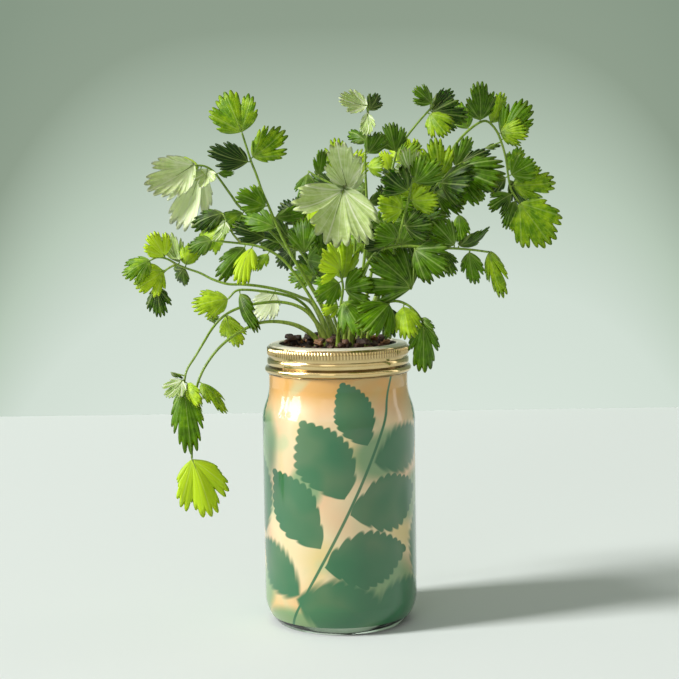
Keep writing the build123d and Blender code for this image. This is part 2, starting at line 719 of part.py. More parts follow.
def bend_radii(points):
    """As large a bend at each point as its two runs leave room for."""
    radii = []
    for before, here, after in zip(points, points[1:], points[2:]):
        inward = here - before
        outward = after - here
        half_turn = radians(inward.get_angle(outward)) / 2
        room = bend_share * min(inward.length, outward.length)
        radii.append(min(room / tan(half_turn), largest_bend))
    return radii


def tube(points, radius):
    """A round stem of one thickness along straight runs joined by bends."""
    with BuildPart(mode=Mode.PRIVATE) as stem:
        with BuildLine() as path:
            FilletPolyline(*points, radius=bend_radii(points))
        with BuildSketch(Plane(origin=path.line @ 0, z_dir=path.line % 0)):
            Circle(radius)
        sweep(path=path.line)
    return stem.part, path.line


def blade(base, tip, width_share, turn):
    """A lobed leaflet of even thickness, bent across its length into three flat facets."""
    reach = tip - base
    length = reach.length
    forward = reach.normalized()
    to_eye = eye - base
    facing = (to_eye - forward * to_eye.dot(forward)).normalized()
    normal = facing.rotate(Axis((0, 0, 0), forward), turn)
    side_plane = Plane(origin=base, x_dir=forward, z_dir=forward.cross(normal))
    flat_plane = Plane(origin=base, x_dir=forward, z_dir=normal)
    ridge = [(0, 0)] + [(length * x, length * y) for x, y in fold_shares] + [(length, 0)]
    under = [(x, y - leaf_thickness) for x, y in reversed(ridge)]
    half_width = length * width_share / 2
    half = [(0, neck_half_width)] + [
        (length * x, half_width * y) for x, y in half_outline_shares
    ]
    outline = half + [(length, 0)] + [(x, -y) for x, y in reversed(half)]
    with BuildPart(mode=Mode.PRIVATE) as leaf:
        with BuildSketch(side_plane):
            with BuildLine():
                Polyline(*ridge, *under, close=True)
            make_face()
        extrude(amount=length, both=True)
        with BuildSketch(flat_plane):
            with BuildLine():
                Polyline(*outline, close=True)
            make_face()
        extrude(amount=length, both=True, mode=Mode.INTERSECT)
    return leaf.part


def leaf_base(line, radius, points, leaf):
    """Where a leaflet's neck starts: just clear of its stem's end or side."""
    tip = seen(leaf.across, leaf.down, leaf.depth_share)
    if leaf.place >= len(points) - 1:
        return line @ 1 + (line % 1) * (leaf_gap + leaf_thickness), tip
    near = line.closest_points(point_on(points, leaf.place))[0]
    ahead = point_on(points, leaf.place + neck_step_share)
    behind = point_on(points, leaf.place - neck_step_share)
    run = (ahead - behind).normalized()
    reach = tip - near
    aside = (reach - run * reach.dot(run)).normalized()
    return near + aside * (radius + leaf_gap + leaf_thickness), tip


# Stalks and their leaflets: one node of stems and one of separate leaflets for each
stalk_parts = []
for number, stems in stalks.items():
    tubes = []
    blades = []
    trunk = []
    for stem in stems:
        points = [seen(*point) for point in stem.points]
        if stem.fork == ground:
            foot = Vector(points[0].X, points[0].Y, plug_top)
            points = [foot] + points
            trunk = points
            radius = stalk_radius
        else:
            points = [point_on(trunk, stem.fork)] + points
            radius = sprig_radius
        solid, line = tube(points, radius)
        tubes.append(solid)
        for leaf in stem.leaves:
            base, tip = leaf_base(line, radius, points, leaf)
            blades.append(blade(base, tip, leaf.width_share, leaf.turn))
    with BuildPart() as stalk:
        add(tubes)
    stalk.part.label = f"stalk_{number}"
    export_step(stalk.part, f"parts/stalk_{number}.step")
    stalk_parts.append(stalk.part)
    with BuildPart() as leaves:
        add(blades)
    leaves.part.label = f"leaves_{number}"
    export_step(leaves.part, f"parts/leaves_{number}.step")

# Loose coir chips over the plug, in a heap that rises to the sides and leaves the stalks clear
golden_turn = pi * (3 - sqrt(5))
chips = []
for layer, count in enumerate(chip_counts):
    for n in range(count):
        angle = golden_turn * n + layer
        spread = sqrt((n + 0.5) / count)
        centre = Vector(
            chip_field_radius * spread * cos(angle),
            chip_field_radius * spread * sin(angle),
            plug_top + chip_lift + chip_layer_rise * layer,
        )
        tilt = chip_tilt_degrees * sin(3 * angle)
        chip = Pos(centre) * Rot(tilt, tilt / 2, 360 * sin(5 * angle)) * Box(
            chip_length * (chip_length_shares[0] + chip_length_shares[1] * cos(7 * angle)),
            chip_width * (chip_width_shares[0] + chip_width_shares[1] * sin(4 * angle)),
            chip_thickness,
        )
        nearest = min(part.distance_to(chip) for part in stalk_parts + chips)
        if nearest > chip_gap and (layer == 0 or nearest < chip_rest_gap):
            chips.append(chip)
with BuildPart() as coir_chips:
    add(chips)
coir_chips.part.label = "coir_chips"
export_step(coir_chips.part, "parts/coir_chips.step")
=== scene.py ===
"""The looks of a jar planter: its foliage, print, glass and metal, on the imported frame, in a studio."""

import json
import logging
import math
import random
from collections.abc import Sequence
from dataclasses import dataclass, field
from enum import Enum
from itertools import combinations
from typing import Any, NamedTuple

import bmesh
import bpy
import numpy as np
from mathutils import Matrix, Vector

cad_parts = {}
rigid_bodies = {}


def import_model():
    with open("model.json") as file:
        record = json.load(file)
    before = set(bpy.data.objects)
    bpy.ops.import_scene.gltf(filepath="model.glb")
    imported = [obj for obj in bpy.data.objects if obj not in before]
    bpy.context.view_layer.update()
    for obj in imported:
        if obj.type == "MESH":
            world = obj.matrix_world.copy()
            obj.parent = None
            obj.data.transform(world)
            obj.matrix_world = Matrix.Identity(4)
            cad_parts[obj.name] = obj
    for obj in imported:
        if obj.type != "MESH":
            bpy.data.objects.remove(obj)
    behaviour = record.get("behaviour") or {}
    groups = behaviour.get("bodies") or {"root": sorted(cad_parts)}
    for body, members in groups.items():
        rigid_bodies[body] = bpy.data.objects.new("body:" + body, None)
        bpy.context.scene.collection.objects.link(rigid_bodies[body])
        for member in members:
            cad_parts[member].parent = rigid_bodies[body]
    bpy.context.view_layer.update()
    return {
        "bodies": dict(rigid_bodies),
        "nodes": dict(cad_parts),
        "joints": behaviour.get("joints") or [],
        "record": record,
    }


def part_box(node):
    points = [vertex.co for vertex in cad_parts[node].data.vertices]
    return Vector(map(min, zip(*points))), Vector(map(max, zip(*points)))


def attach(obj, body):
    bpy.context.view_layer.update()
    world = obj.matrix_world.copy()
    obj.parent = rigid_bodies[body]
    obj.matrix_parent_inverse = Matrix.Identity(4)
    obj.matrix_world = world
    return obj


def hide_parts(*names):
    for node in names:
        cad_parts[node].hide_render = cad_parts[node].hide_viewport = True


log = logging.getLogger("jar_planter")

MM = 0.001
GROUND = -1.0
# How alike two faces of a leaflet solid point where they are in one plane, and how far one end reaches
SAME_WAY = 0.999
END_REACH = 0.7 * MM


class LeafSlot(Enum):
    """The slots of a mesh of leaflets: their two sides, and their little stalks."""

    UPPER = 0
    UNDER = 1
    STALKLET = 2


class Route(NamedTuple):
    """A stem's way: where it forks from the stalk, and its points (across, down, depth share)."""

    fork: float
    points: list


class PrintLeaf(NamedTuple):
    """One leaf shadow of the print: its place round the jar and up it, its size, its turn, in mm."""

    around: float
    height: float
    length: float
    width: float
    turn: float


STALK_ROUTES: dict[str, list[Route]] = {
    "01": [
        Route(GROUND, [(316, 339, -0.1), (300, 327, -0.12), (281, 322, -0.14), (262, 322.5, -0.16),
            (247, 328, -0.18), (233, 336, -0.2), (219, 348, -0.22), (208, 362, -0.23),
            (200, 377, -0.24), (195.5, 393, -0.24), (193.5, 412, -0.245), (191.5, 436, -0.25),
            (192, 458, -0.25)]),
    ],
    "02": [
        Route(GROUND, [(325, 338, -0.05), (316, 322, -0.06), (306, 311, -0.07),
            (293, 304.5, -0.08), (278, 302, -0.09), (262, 303, -0.1), (246, 306, -0.11),
            (232, 311, -0.12), (221, 318.5, -0.14), (212, 329, -0.16), (204, 342, -0.3),
            (195, 357, -0.33), (187, 370, -0.35), (184, 384, -0.36)]),
    ],
    "03": [
        Route(GROUND, [(322, 338, 0.02), (311, 313, 0.01), (298, 300, -0.02), (283, 294.5, -0.07),
            (264, 291.5, -0.12), (246, 289.8, -0.16), (236, 291, -0.18), (229, 298, -0.19)]),
    ],
    "04": [
        Route(GROUND, [(328, 338, 0.08), (314, 306, 0.1), (300, 297, 0.12), (281, 290.5, 0.14),
            (262, 286.5, 0.16), (244, 284.5, 0.18), (228, 284, 0.2), (213, 279.5, 0.22),
            (200, 273, 0.24), (187, 268.5, 0.25), (176, 264, 0.26)]),
        Route(11, [(166, 270, 0.25), (160, 278, 0.24), (157, 286, 0.23)]),
        Route(11, [(167, 259, 0.22), (158, 257.5, 0.2), (151, 260, 0.18)]),
    ],
    "05": [
        Route(GROUND, [(330, 338, 0), (322, 318, 0), (312, 300, 0.01), (302, 284, 0.01),
            (292, 270, 0.01), (281, 258, 0.01), (268, 250, 0), (255, 245.5, 0), (241, 243.5, 0),
            (226, 242, 0.01), (212, 240.5, 0.02)]),
        Route(9, [(233, 234, 0.04), (228, 224, 0.07), (223, 214, 0.09)]),
    ],
    "06": [
        Route(GROUND, [(333, 338, 0.12), (327, 318, 0.15), (318, 299, 0.17), (307, 281, 0.18),
            (296, 263, 0.195), (286, 245, 0.22), (277, 226, 0.235), (269, 207, 0.24),
            (262, 191, 0.255), (256.5, 175, 0.26), (251, 161, 0.255), (246.5, 147, 0.26),
            (242, 133, 0.25)]),
    ],
    "07": [
        Route(GROUND, [(336, 338, 0.2), (329, 318, 0.24), (318, 298, 0.28), (305, 276, 0.32),
            (290, 254, 0.36), (273, 234, 0.4), (256, 219, 0.44), (240, 207, 0.46),
            (231, 195, 0.46), (221, 181, 0.46), (213, 171, 0.46), (204, 166, 0.45),
            (194, 165.5, 0.44)]),
    ],
    "08": [
        Route(GROUND, [(340, 338, 0.24), (334, 318, 0.3), (327, 298, 0.36), (319, 280, 0.42),
            (309, 264, 0.48), (299, 250, 0.52), (289, 239, 0.56)]),
        Route(6, [(280, 243, 0.44), (266, 238, 0.36)]),
    ],
    "09": [
        Route(GROUND, [(345, 338, -0.06), (347, 316, -0.08), (351, 290, -0.1), (354, 263, -0.12),
            (355, 237, -0.14), (354, 214, -0.17), (349, 197, -0.2), (343, 186, -0.24)]),
        Route(7, [(337, 187, -0.14), (320, 178, -0.1), (308, 171, -0.08)]),
    ],
    "10": [
        Route(GROUND, [(352, 338, 0), (356, 315, -0.01), (360, 290, -0.01), (364, 262, -0.02),
            (366, 235, -0.02), (367, 210, -0.03), (366, 185, -0.03), (365, 160, -0.04),
            (367, 138, -0.04), (369, 122, -0.05), (367, 107, -0.06)]),
    ],
    "11": [
        Route(GROUND, [(358, 338, 0.1), (363, 312, 0.14), (369, 285, 0.18), (375, 255, 0.21),
            (381, 225, 0.24), (386, 200, 0.26), (391, 175, 0.28), (397, 152, 0.3),
            (408, 135, 0.31), (421, 119, 0.32), (434, 105, 0.33)]),
    ],
    "12": [
        Route(GROUND, [(364, 338, 0.18), (371, 312, 0.24), (380, 285, 0.3), (391, 258, 0.36),
            (404, 231, 0.42), (418, 205, 0.47), (432, 180, 0.51), (447, 157, 0.54),
            (460, 139, 0.56), (474, 126, 0.57), (486, 121, 0.57), (496, 130, 0.56),
            (502, 144, 0.55), (506, 159, 0.54), (508, 174, 0.53), (511, 189, 0.52),
            (519, 202, 0.51)]),
    ],
    "13": [
        Route(GROUND, [(370, 338, 0.06), (378, 312, 0.08), (387, 285, 0.1), (397, 258, 0.11),
            (408, 233, 0.12), (420, 210, 0.12), (433, 190, 0.12), (447, 174, 0.11),
            (461, 163, 0.1)]),
        Route(7, [(440, 200, 0.22), (451, 207, 0.26), (458, 214, 0.28)]),
    ],
    "14": [
        Route(GROUND, [(350, 338, -0.16), (353, 315, -0.2), (357, 292, -0.24), (364, 270, -0.28),
            (374, 255, -0.31), (387, 248, -0.33), (403, 246, -0.34), (420, 246.8, -0.35),
            (438, 248, -0.35), (456, 248.6, -0.34), (473, 250, -0.33), (488, 252, -0.32)]),
    ],
    "15": [
        Route(GROUND, [(356, 338, 0.26), (363, 322, 0.28), (373, 309, 0.3), (386, 297, 0.32),
            (400, 284, 0.34), (412, 273, 0.36), (421, 263, 0.38)]),
    ],
    "16": [
        Route(GROUND, [(362, 339, -0.18), (365, 326, -0.22), (372, 312, -0.27), (383, 304, -0.32),
            (395, 301, -0.35), (406, 304, -0.37), (416, 312, -0.38), (423, 322, -0.38)]),
    ],
    "17": [
        Route(GROUND, [(338, 339, -0.16), (339, 322, -0.19), (341, 304, -0.22), (343, 287, -0.25),
            (340, 272, -0.29)]),
    ],
    "18": [
        Route(GROUND, [(347, 338, 0.14), (352, 314, 0.2), (360, 286, 0.26), (371, 257, 0.33),
            (384, 229, 0.4), (396, 205, 0.46), (406, 184, 0.51), (413, 165, 0.55)]),
    ],
    "19": [
        Route(GROUND, [(368, 339, -0.08), (374, 313, -0.14), (382, 287, -0.2), (391, 261, -0.26),
            (399, 236, -0.32), (405, 213, -0.38), (410, 193, -0.43), (412, 177, -0.48)]),
    ],
    "20": [
        Route(GROUND, [(342, 338, 0.32), (338, 312, 0.4), (331, 286, 0.48), (322, 262, 0.55),
            (312, 240, 0.61), (303, 221, 0.66)]),
    ],
    "21": [
        Route(GROUND, [(350, 338, 0.22), (351, 310, 0.28), (351.5, 280, 0.33), (349, 250, 0.38),
            (345, 221, 0.42), (341, 195, 0.45), (339, 172, 0.47)]),
    ],
}

# Places of the picture where the sun-lit, yellow-green leaflets are
BRIGHT_PLACES: list[tuple[float, float]] = [
    (240, 255), (335, 255), (208, 300), (205, 490), (165, 270), (180, 190), (350, 105),
    (330, 215), (185, 410), (225, 330), (400, 150), (345, 165), (262, 300), (500, 270),
    (215, 398), (190, 428),
]


def linear(code: str, alpha: float = 1.0) -> tuple[float, float, float, float]:
    """Turn an sRGB hex colour to the linear one that shaders take.

    Args:
        code: the colour, as in "#d9bd83".
        alpha: the fourth value.

    Returns:
        Red, green, blue and alpha.
    """
    parts = [int(code[i : i + 2], 16) / 255 for i in (1, 3, 5)]
    turned = [c / 12.92 if c <= 0.04045 else ((c + 0.055) / 1.055) ** 2.4 for c in parts]
    return (turned[0], turned[1], turned[2], alpha)


def pitch(size_mm: float) -> float:
    """The scale of a pattern whose cells are this many millimetres across."""
    return 1 / (size_mm * MM)


def add_node(
    tree: bpy.types.NodeTree,
    kind: str,
    inputs: dict[Any, Any] | None = None,
    stops: Sequence[tuple[float, str]] | None = None,
    **settings: Any,
) -> bpy.types.Node:
    """Add one node with its settings, values and links.

    Args:
        tree: the node tree.
        kind: the node's type without the word that all shader nodes share.
        inputs: what each input socket is set to, or the output socket that is linked to it, or the
            node whose first output in use is linked to it.
        stops: places and hex colours, where the node has a colour ramp.
        settings: the node's own fields.

    Returns:
        The new node.
    """
    node = tree.nodes.new("ShaderNode" + kind)
    for name, value in settings.items():
        setattr(node, name, value)
    for name, value in (inputs or {}).items():
        if isinstance(value, bpy.types.Node):
            value = next(output for output in value.outputs if output.enabled)
        if isinstance(value, bpy.types.NodeSocket):
            tree.links.new(value, node.inputs[name])
        else:
            node.inputs[name].default_value = value
    if stops:
        ramp = node.color_ramp.elements
        while len(ramp) < len(stops):
            ramp.new(1.0)
        for element, (place, code) in zip(ramp, stops):
            element.position = place
            element.color = linear(code)
    return node


def new_material(name: str) -> tuple[bpy.types.Material, bpy.types.NodeTree]:
    """Start an empty node material.

    Args:
        name: the material's name.

    Returns:
        The material and its node tree.
    """
    material = bpy.data.materials.new(name)
    material.use_nodes = True
    material.node_tree.nodes.clear()
    return material, material.node_tree


def close_material(tree: bpy.types.NodeTree, shader: bpy.types.Node) -> None:
    """Link the last shader to the surface."""
    add_node(tree, "OutputMaterial", {"Surface": shader})


def wear_material(obj: bpy.types.Object, *materials: bpy.types.Material) -> None:
    """Give an object these materials, in the order of its slots.

    Args:
        obj: the object.
        materials: its finishes.
    """
    obj.data.materials.clear()
    for material in materials:
        obj.data.materials.append(material)


@dataclass
class MeshDraft:
    """Vertices, faces and values at the vertices, gathered before they become one mesh."""

    verts: list = field(default_factory=list)
    faces: list = field(default_factory=list)
    slots: list = field(default_factory=list)
    values: dict = field(default_factory=dict)

    def add(self, verts: np.ndarray, faces: list, slot: int | np.ndarray = 0, **values: Any) -> None:
        """Add a piece of mesh.

        Args:
            verts: its points, in metres.
            faces: its faces, counted from its own first point.
            slot: the material slot of its faces, or one for each face.
            values: one number, or one for each point, under each name.
        """
        start = len(self.verts)
        self.verts.extend(map(tuple, np.asarray(verts, float)))
        self.faces.extend(tuple(start + i for i in face) for face in faces)
        self.slots.extend(np.broadcast_to(slot, (len(faces),)).tolist())
        for name, value in values.items():
            kept = self.values.setdefault(name, [])
            kept.extend([0.0] * (start - len(kept)))
            kept.extend(np.broadcast_to(np.asarray(value, float), (len(verts),)).tolist())

    def build(self, name: str, *materials: bpy.types.Material) -> bpy.types.Object:
        """Make the mesh object.

        Args:
            name: the piece's name.
            materials: the finishes of its slots.

        Returns:
            The object, linked to the scene.
        """
        mesh = bpy.data.meshes.new(name)
        mesh.from_pydata(self.verts, [], self.faces)
        mesh.polygons.foreach_set("use_smooth", [True] * len(self.faces))
        for key, kept in self.values.items():
            kept.extend([0.0] * (len(self.verts) - len(kept)))
            layer = mesh.attributes.new(key, "FLOAT", "POINT")
            layer.data.foreach_set("value", kept)
        mesh.update()
        obj = bpy.data.objects.new(name, mesh)
        bpy.context.scene.collection.objects.link(obj)
        wear_material(obj, *materials)
        mesh.polygons.foreach_set("material_index", self.slots)
        mesh.update()
        return obj


def ring_faces(rings: int, sides: int, closed: bool = False) -> list[tuple[int, ...]]:
    """The faces between rings of points that follow one another.

    Args:
        rings: how many rings of points.
        sides: points in a ring.
        closed: whether the last ring joins the first.

    Returns:
        The faces.
    """
    faces = []
    for ring in range(rings if closed else rings - 1):
        here, there = ring * sides, (ring + 1) % rings * sides
        for a in range(sides):
            b = (a + 1) % sides
            faces.append((here + a, here + b, there + b, there + a))
    return faces


def tube_faces(rings: int, sides: int) -> list[tuple[int, ...]]:
    """The faces of a tube of rings, with both ends capped.

    Args:
        rings: how many rings of points.
        sides: points in a ring.

    Returns:
        The faces.
    """
    first = tuple(reversed(range(sides)))
    last = tuple(range((rings - 1) * sides, rings * sides))
    return ring_faces(rings, sides) + [first, last]


def flipped(faces: list[tuple[int, ...]]) -> list[tuple[int, ...]]:
    """The same faces, seen from their other side."""
    return [face[:1] + face[:0:-1] for face in faces]


def smooth_line(points: np.ndarray, steps: int) -> np.ndarray:
    """A smooth curve through points.

    Args:
        points: the points it goes through.
        steps: how many short steps from one point to the next.

    Returns:
        The points along the curve.
    """
    padded = np.vstack([2 * points[0] - points[1], points, 2 * points[-1] - points[-2]])
    line = []
    for a, b, c, d in zip(padded, padded[1:], padded[2:], padded[3:]):
        for t in np.arange(steps) / steps:
            line.append(
                0.5 * (2 * b + (c - a) * t + (2 * a - 5 * b + 4 * c - d) * t**2
                       + (3 * b - a - 3 * c + d) * t**3)
            )
    line.append(points[-1])
    return np.array(line)


def unit(v: np.ndarray) -> np.ndarray:
    """The vector at a length of one."""
    return v / max(float(np.linalg.norm(v)), 1e-12)


def tube_points(
    line: np.ndarray, radii: np.ndarray, sides: int, ridges: int, ridge_share: float
) -> np.ndarray:
    """The points of a tube round a line, with ridges along it.

    Args:
        line: the middle line.
        radii: the radius at each of its points.
        sides: points round the tube.
        ridges: how many ridges run along it.
        ridge_share: their height as a share of the radius.

    Returns:
        The points, ring by ring.
    """
    tangents = np.gradient(line, axis=0)
    across = unit(np.cross(tangents[0], (0.3, 1.0, 0.2)))
    rings = []
    for point, tangent, radius in zip(line, tangents, radii):
        along = unit(tangent)
        across = unit(across - along * float(across @ along))
        other = np.cross(along, across)
        for s in range(sides):
            a = 2 * math.pi * s / sides
            r = radius * (1 + ridge_share * math.cos(ridges * a))
            rings.append(point + r * (across * math.cos(a) + other * math.sin(a)))
    return np.array(rings)


def islands(obj: bpy.types.Object) -> list[tuple[np.ndarray, list[tuple[np.ndarray, float]]]]:
    """The separate solids of a node.

    Args:
        obj: the node's object, which is only read.

    Returns:
        For each solid its corners, and the normal and area of each of its faces.
    """
    mesh = bmesh.new()
    mesh.from_mesh(obj.data)
    bmesh.ops.remove_doubles(mesh, verts=mesh.verts, dist=1e-6)
    found = []
    for face in mesh.faces:
        face.tag = False
    for seed in mesh.faces:
        if seed.tag:
            continue
        seed.tag = True
        stack, members = [seed], []
        while stack:
            face = stack.pop()
            members.append(face)
            for edge in face.edges:
                for other in edge.link_faces:
                    if not other.tag:
                        other.tag = True
                        stack.append(other)
        corners = {v.index: v.co for f in members for v in f.verts}
        points = np.array([corners[i] for i in sorted(corners)])
        found.append((points, [(np.array(f.normal), f.calc_area()) for f in members]))
    mesh.free()
    return found


@dataclass(frozen=True)
class PhotoView:
    """The eye that the picture was taken from, which also places the stems."""

    middle_across: float = 337.7
    middle_down: float = 339.5
    lean_share: float = 0.014
    focal_px: float = 1646.0
    picture_px: float = 679.0
    sensor_mm: float = 36.0
    distance: float = 1.030
    height: float = 0.2814
    pitch: float = math.radians(5.7)
    plant_depth: float = 0.100

    def point(self, across: float, down: float, depth_share: float) -> np.ndarray:
        """The point at a place of the picture and a depth behind the jar's axis.

        Args:
            across: pixels from the left edge.
            down: pixels from the upper edge.
            depth_share: the depth as a share of the plant's depth, away from the eye.

        Returns:
            The point in the row frame.
        """
        sideways, upright = across - self.middle_across, down - self.middle_down
        level_across = sideways - self.lean_share * upright
        level_down = upright + self.lean_share * sideways
        depth = self.plant_depth * depth_share
        below = self.pitch + math.atan(level_down / self.focal_px)
        height = self.height - (self.distance + depth) * math.tan(below)
        reach = (self.distance + depth) * math.cos(self.pitch)
        reach += (self.height - height) * math.sin(self.pitch)
        return np.array((level_across * reach / self.focal_px, depth, height))

    def place(self, point: np.ndarray) -> tuple[float, float]:
        """Find where a point shows in the picture.

        Args:
            point: the point in the row frame.

        Returns:
            Pixels across and down.
        """
        away = point[1] + self.distance
        drop = self.height - point[2]
        reach = away * math.cos(self.pitch) + drop * math.sin(self.pitch)
        down = (drop * math.cos(self.pitch) - away * math.sin(self.pitch)) / reach * self.focal_px
        across = point[0] / reach * self.focal_px
        return (
            self.middle_across + across + self.lean_share * down,
            self.middle_down + down - self.lean_share * across,
        )

    def camera(self) -> bpy.types.Object:
        """Place the camera at the picture's eye.

        Returns:
            The camera.
        """
        data = bpy.data.cameras.new("photo_eye")
        data.sensor_width = self.sensor_mm
        data.lens = self.focal_px / self.picture_px * self.sensor_mm
        data.shift_x = (self.picture_px / 2 - self.middle_across) / self.picture_px
        data.clip_end = 20.0
        obj = bpy.data.objects.new("photo_eye", data)
        level_right = Vector((1, 0, 0))
        level_up = Vector((0, math.sin(self.pitch), math.cos(self.pitch)))
        lean = math.atan(self.lean_share)
        right = level_right * math.cos(lean) - level_up * math.sin(lean)
        up = level_up * math.cos(lean) + level_right * math.sin(lean)
        turned = Matrix((right, up, right.cross(up))).transposed().to_4x4()
        obj.matrix_world = Matrix.Translation((0, -self.distance, self.height)) @ turned
        bpy.context.scene.collection.objects.link(obj)
        bpy.context.scene.camera = obj
        return obj


@dataclass(frozen=True)
class HerbLeafBlade:
    """Living leaf, soft and thin: a satin upper side with paler veins, a mat pale underside."""

    dark: str
    middle: str
    bright: str
    vein: str
    roughness: float
    glow: float
    vein_strength: float
    cell_mm: float = 2.0
    blotch_mm: float = 5.0
    relief_mm: float = 0.25

    def material(self, name: str) -> bpy.types.Material:
        """Build the leaf's finish.

        Args:
            name: the material's name.

        Returns:
            The material.
        """
        material, tree = new_material(name)
        place = add_node(tree, "NewGeometry")
        tone, spine, rib, out = (
            add_node(tree, "Attribute", attribute_name=key).outputs["Fac"]
            for key in ("tone", "spine", "rib", "out")
        )
        # Blotches of the blade, and its cells, 0.1 mm across and drawn at 2 mm, because finer ones
        # would only speckle at this distance
        cells = add_node(tree, "TexNoise", {"Vector": place, "Scale": pitch(self.cell_mm), "Detail": 1.0})
        blotch = add_node(
            tree, "TexNoise", {"Vector": place, "Scale": pitch(self.blotch_mm), "Detail": 2.0}
        )
        mixed = add_node(tree, "Math", {0: blotch, 1: 0.5, 2: tone}, operation="MULTIPLY_ADD")
        shade = add_node(tree, "Math", {0: cells, 1: 0.16, 2: mixed}, operation="MULTIPLY_ADD")
        greens = [(0.24, self.dark), (0.56, self.middle), (0.88, self.bright)]
        ramp = add_node(tree, "ValToRGB", {"Fac": shade}, greens)
        # Radial veins: a main one down each lobe and fine ones out to the teeth. Real ones are 0.1 to
        # 0.4 mm wide and are drawn about twice as wide so that they show
        main = add_node(
            tree, "MapRange", {0: spine, 1: 0.2, 2: 0.6, 3: 1.0, 4: 0.0}, interpolation_type="SMOOTHSTEP"
        )
        near = add_node(tree, "Math", {0: rib, 1: 0.5}, operation="PINGPONG")
        apart = add_node(tree, "Math", {0: near, 1: out}, operation="MULTIPLY")
        side = add_node(
            tree, "MapRange", {0: apart, 1: 0.05, 2: 0.26, 3: 0.6, 4: 0.0}, interpolation_type="SMOOTHSTEP"
        )
        veins = add_node(tree, "Math", {0: main, 1: side}, operation="MAXIMUM")
        amount = add_node(tree, "Math", {0: veins, 1: self.vein_strength}, operation="MULTIPLY")
        colour = add_node(tree, "Mix", {0: amount, 6: ramp, 7: linear(self.vein)}, data_type="RGBA")
        height = add_node(tree, "Math", {0: cells, 1: 0.2, 2: veins}, operation="MULTIPLY_ADD")
        bump = add_node(
            tree, "Bump", {"Height": height, "Strength": 0.32, "Distance": self.relief_mm * MM},
            invert=name.endswith("upper_side"),
        )
        surface = {
            "Base Color": colour, "Roughness": self.roughness, "IOR": 1.42, "Specular IOR Level": 0.2,
            "Subsurface Weight": self.glow, "Subsurface Radius": (0.0012, 0.0018, 0.0004),
            "Subsurface Scale": 1.0, "Normal": bump,
        }
        close_material(tree, add_node(tree, "BsdfPrincipled", surface))
        return material


@dataclass(frozen=True)
class HerbStemSkin:
    """Juicy ribbed stem: pale at the foot, yellow-green above, with a waxy gloss."""

    foot: str = "#a3b254"
    middle: str = "#86a430"
    top: str = "#86a23c"
    streak: str = "#4f6a1a"
    streak_mm: float = 0.9
    streak_squeeze: float = 0.06

    def material(self) -> bpy.types.Material:
        """Build the stem's finish.

        Returns:
            The material.
        """
        material, tree = new_material("waxy_herb_stem")
        place = add_node(tree, "NewGeometry")
        along = add_node(tree, "Attribute", attribute_name="along").outputs["Fac"]
        greens = [(0.0, self.foot), (0.35, self.middle), (1.0, self.top)]
        ramp = add_node(tree, "ValToRGB", {"Fac": along}, greens)
        # Streaks along the upright stem, about 0.9 mm wide and 15 mm long
        squeezed = add_node(tree, "Mapping", {"Vector": place, "Scale": (1.0, 1.0, self.streak_squeeze)})
        streaks = add_node(
            tree, "TexNoise", {"Vector": squeezed, "Scale": pitch(self.streak_mm), "Detail": 2.0}
        )
        amount = add_node(
            tree, "MapRange", {0: streaks, 1: 0.45, 2: 0.7, 3: 0.0, 4: 0.7}, interpolation_type="SMOOTHSTEP"
        )
        colour = add_node(tree, "Mix", {0: amount, 6: ramp, 7: linear(self.streak)}, data_type="RGBA")
        bump = add_node(tree, "Bump", {"Height": streaks, "Strength": 0.3, "Distance": 0.2 * MM})
        surface = {
            "Base Color": colour, "Roughness": 0.38, "IOR": 1.42, "Subsurface Weight": 0.25,
            "Subsurface Radius": (0.0015, 0.002, 0.0005), "Subsurface Scale": 1.0, "Normal": bump,
        }
        close_material(tree, add_node(tree, "BsdfPrincipled", surface))
        return material


@dataclass(frozen=True)
class CoirBark:
    """Torn coir husk and bark: dry, mat and fibrous, from near black to tan."""

    dark: str = "#190e08"
    middle: str = "#4c2b15"
    light: str = "#b98450"
    fibre_mm: float = 0.5
    clod_mm: float = 3.0

    def material(self, name: str) -> bpy.types.Material:
        """Build the husk's finish.

        Args:
            name: the material's name.

        Returns:
            The material.
        """
        material, tree = new_material(name)
        place = add_node(tree, "NewGeometry")
        tone = add_node(tree, "Attribute", attribute_name="tone").outputs["Fac"]
        # Fibres of about 0.3 mm, drawn at 0.5 mm so that they show, and clods
        threads = {"Vector": place, "Scale": pitch(self.fibre_mm), "Detail": 4.0, "Distortion": 1.5}
        fibre = add_node(tree, "TexNoise", threads)
        clod = add_node(tree, "TexNoise", {"Vector": place, "Scale": pitch(self.clod_mm), "Detail": 2.0})
        first = add_node(tree, "Math", {0: clod, 1: 0.4, 2: tone}, operation="MULTIPLY_ADD")
        shade = add_node(tree, "Math", {0: fibre, 1: 0.35, 2: first}, operation="MULTIPLY_ADD")
        browns = [(0.28, self.dark), (0.68, self.middle), (1.0, self.light)]
        ramp = add_node(tree, "ValToRGB", {"Fac": shade}, browns)
        bump = add_node(tree, "Bump", {"Height": fibre, "Strength": 0.8, "Distance": 0.5 * MM})
        surface = {"Base Color": ramp, "Roughness": 0.62, "Specular IOR Level": 0.55, "Normal": bump}
        close_material(tree, add_node(tree, "BsdfPrincipled", surface))
        return material


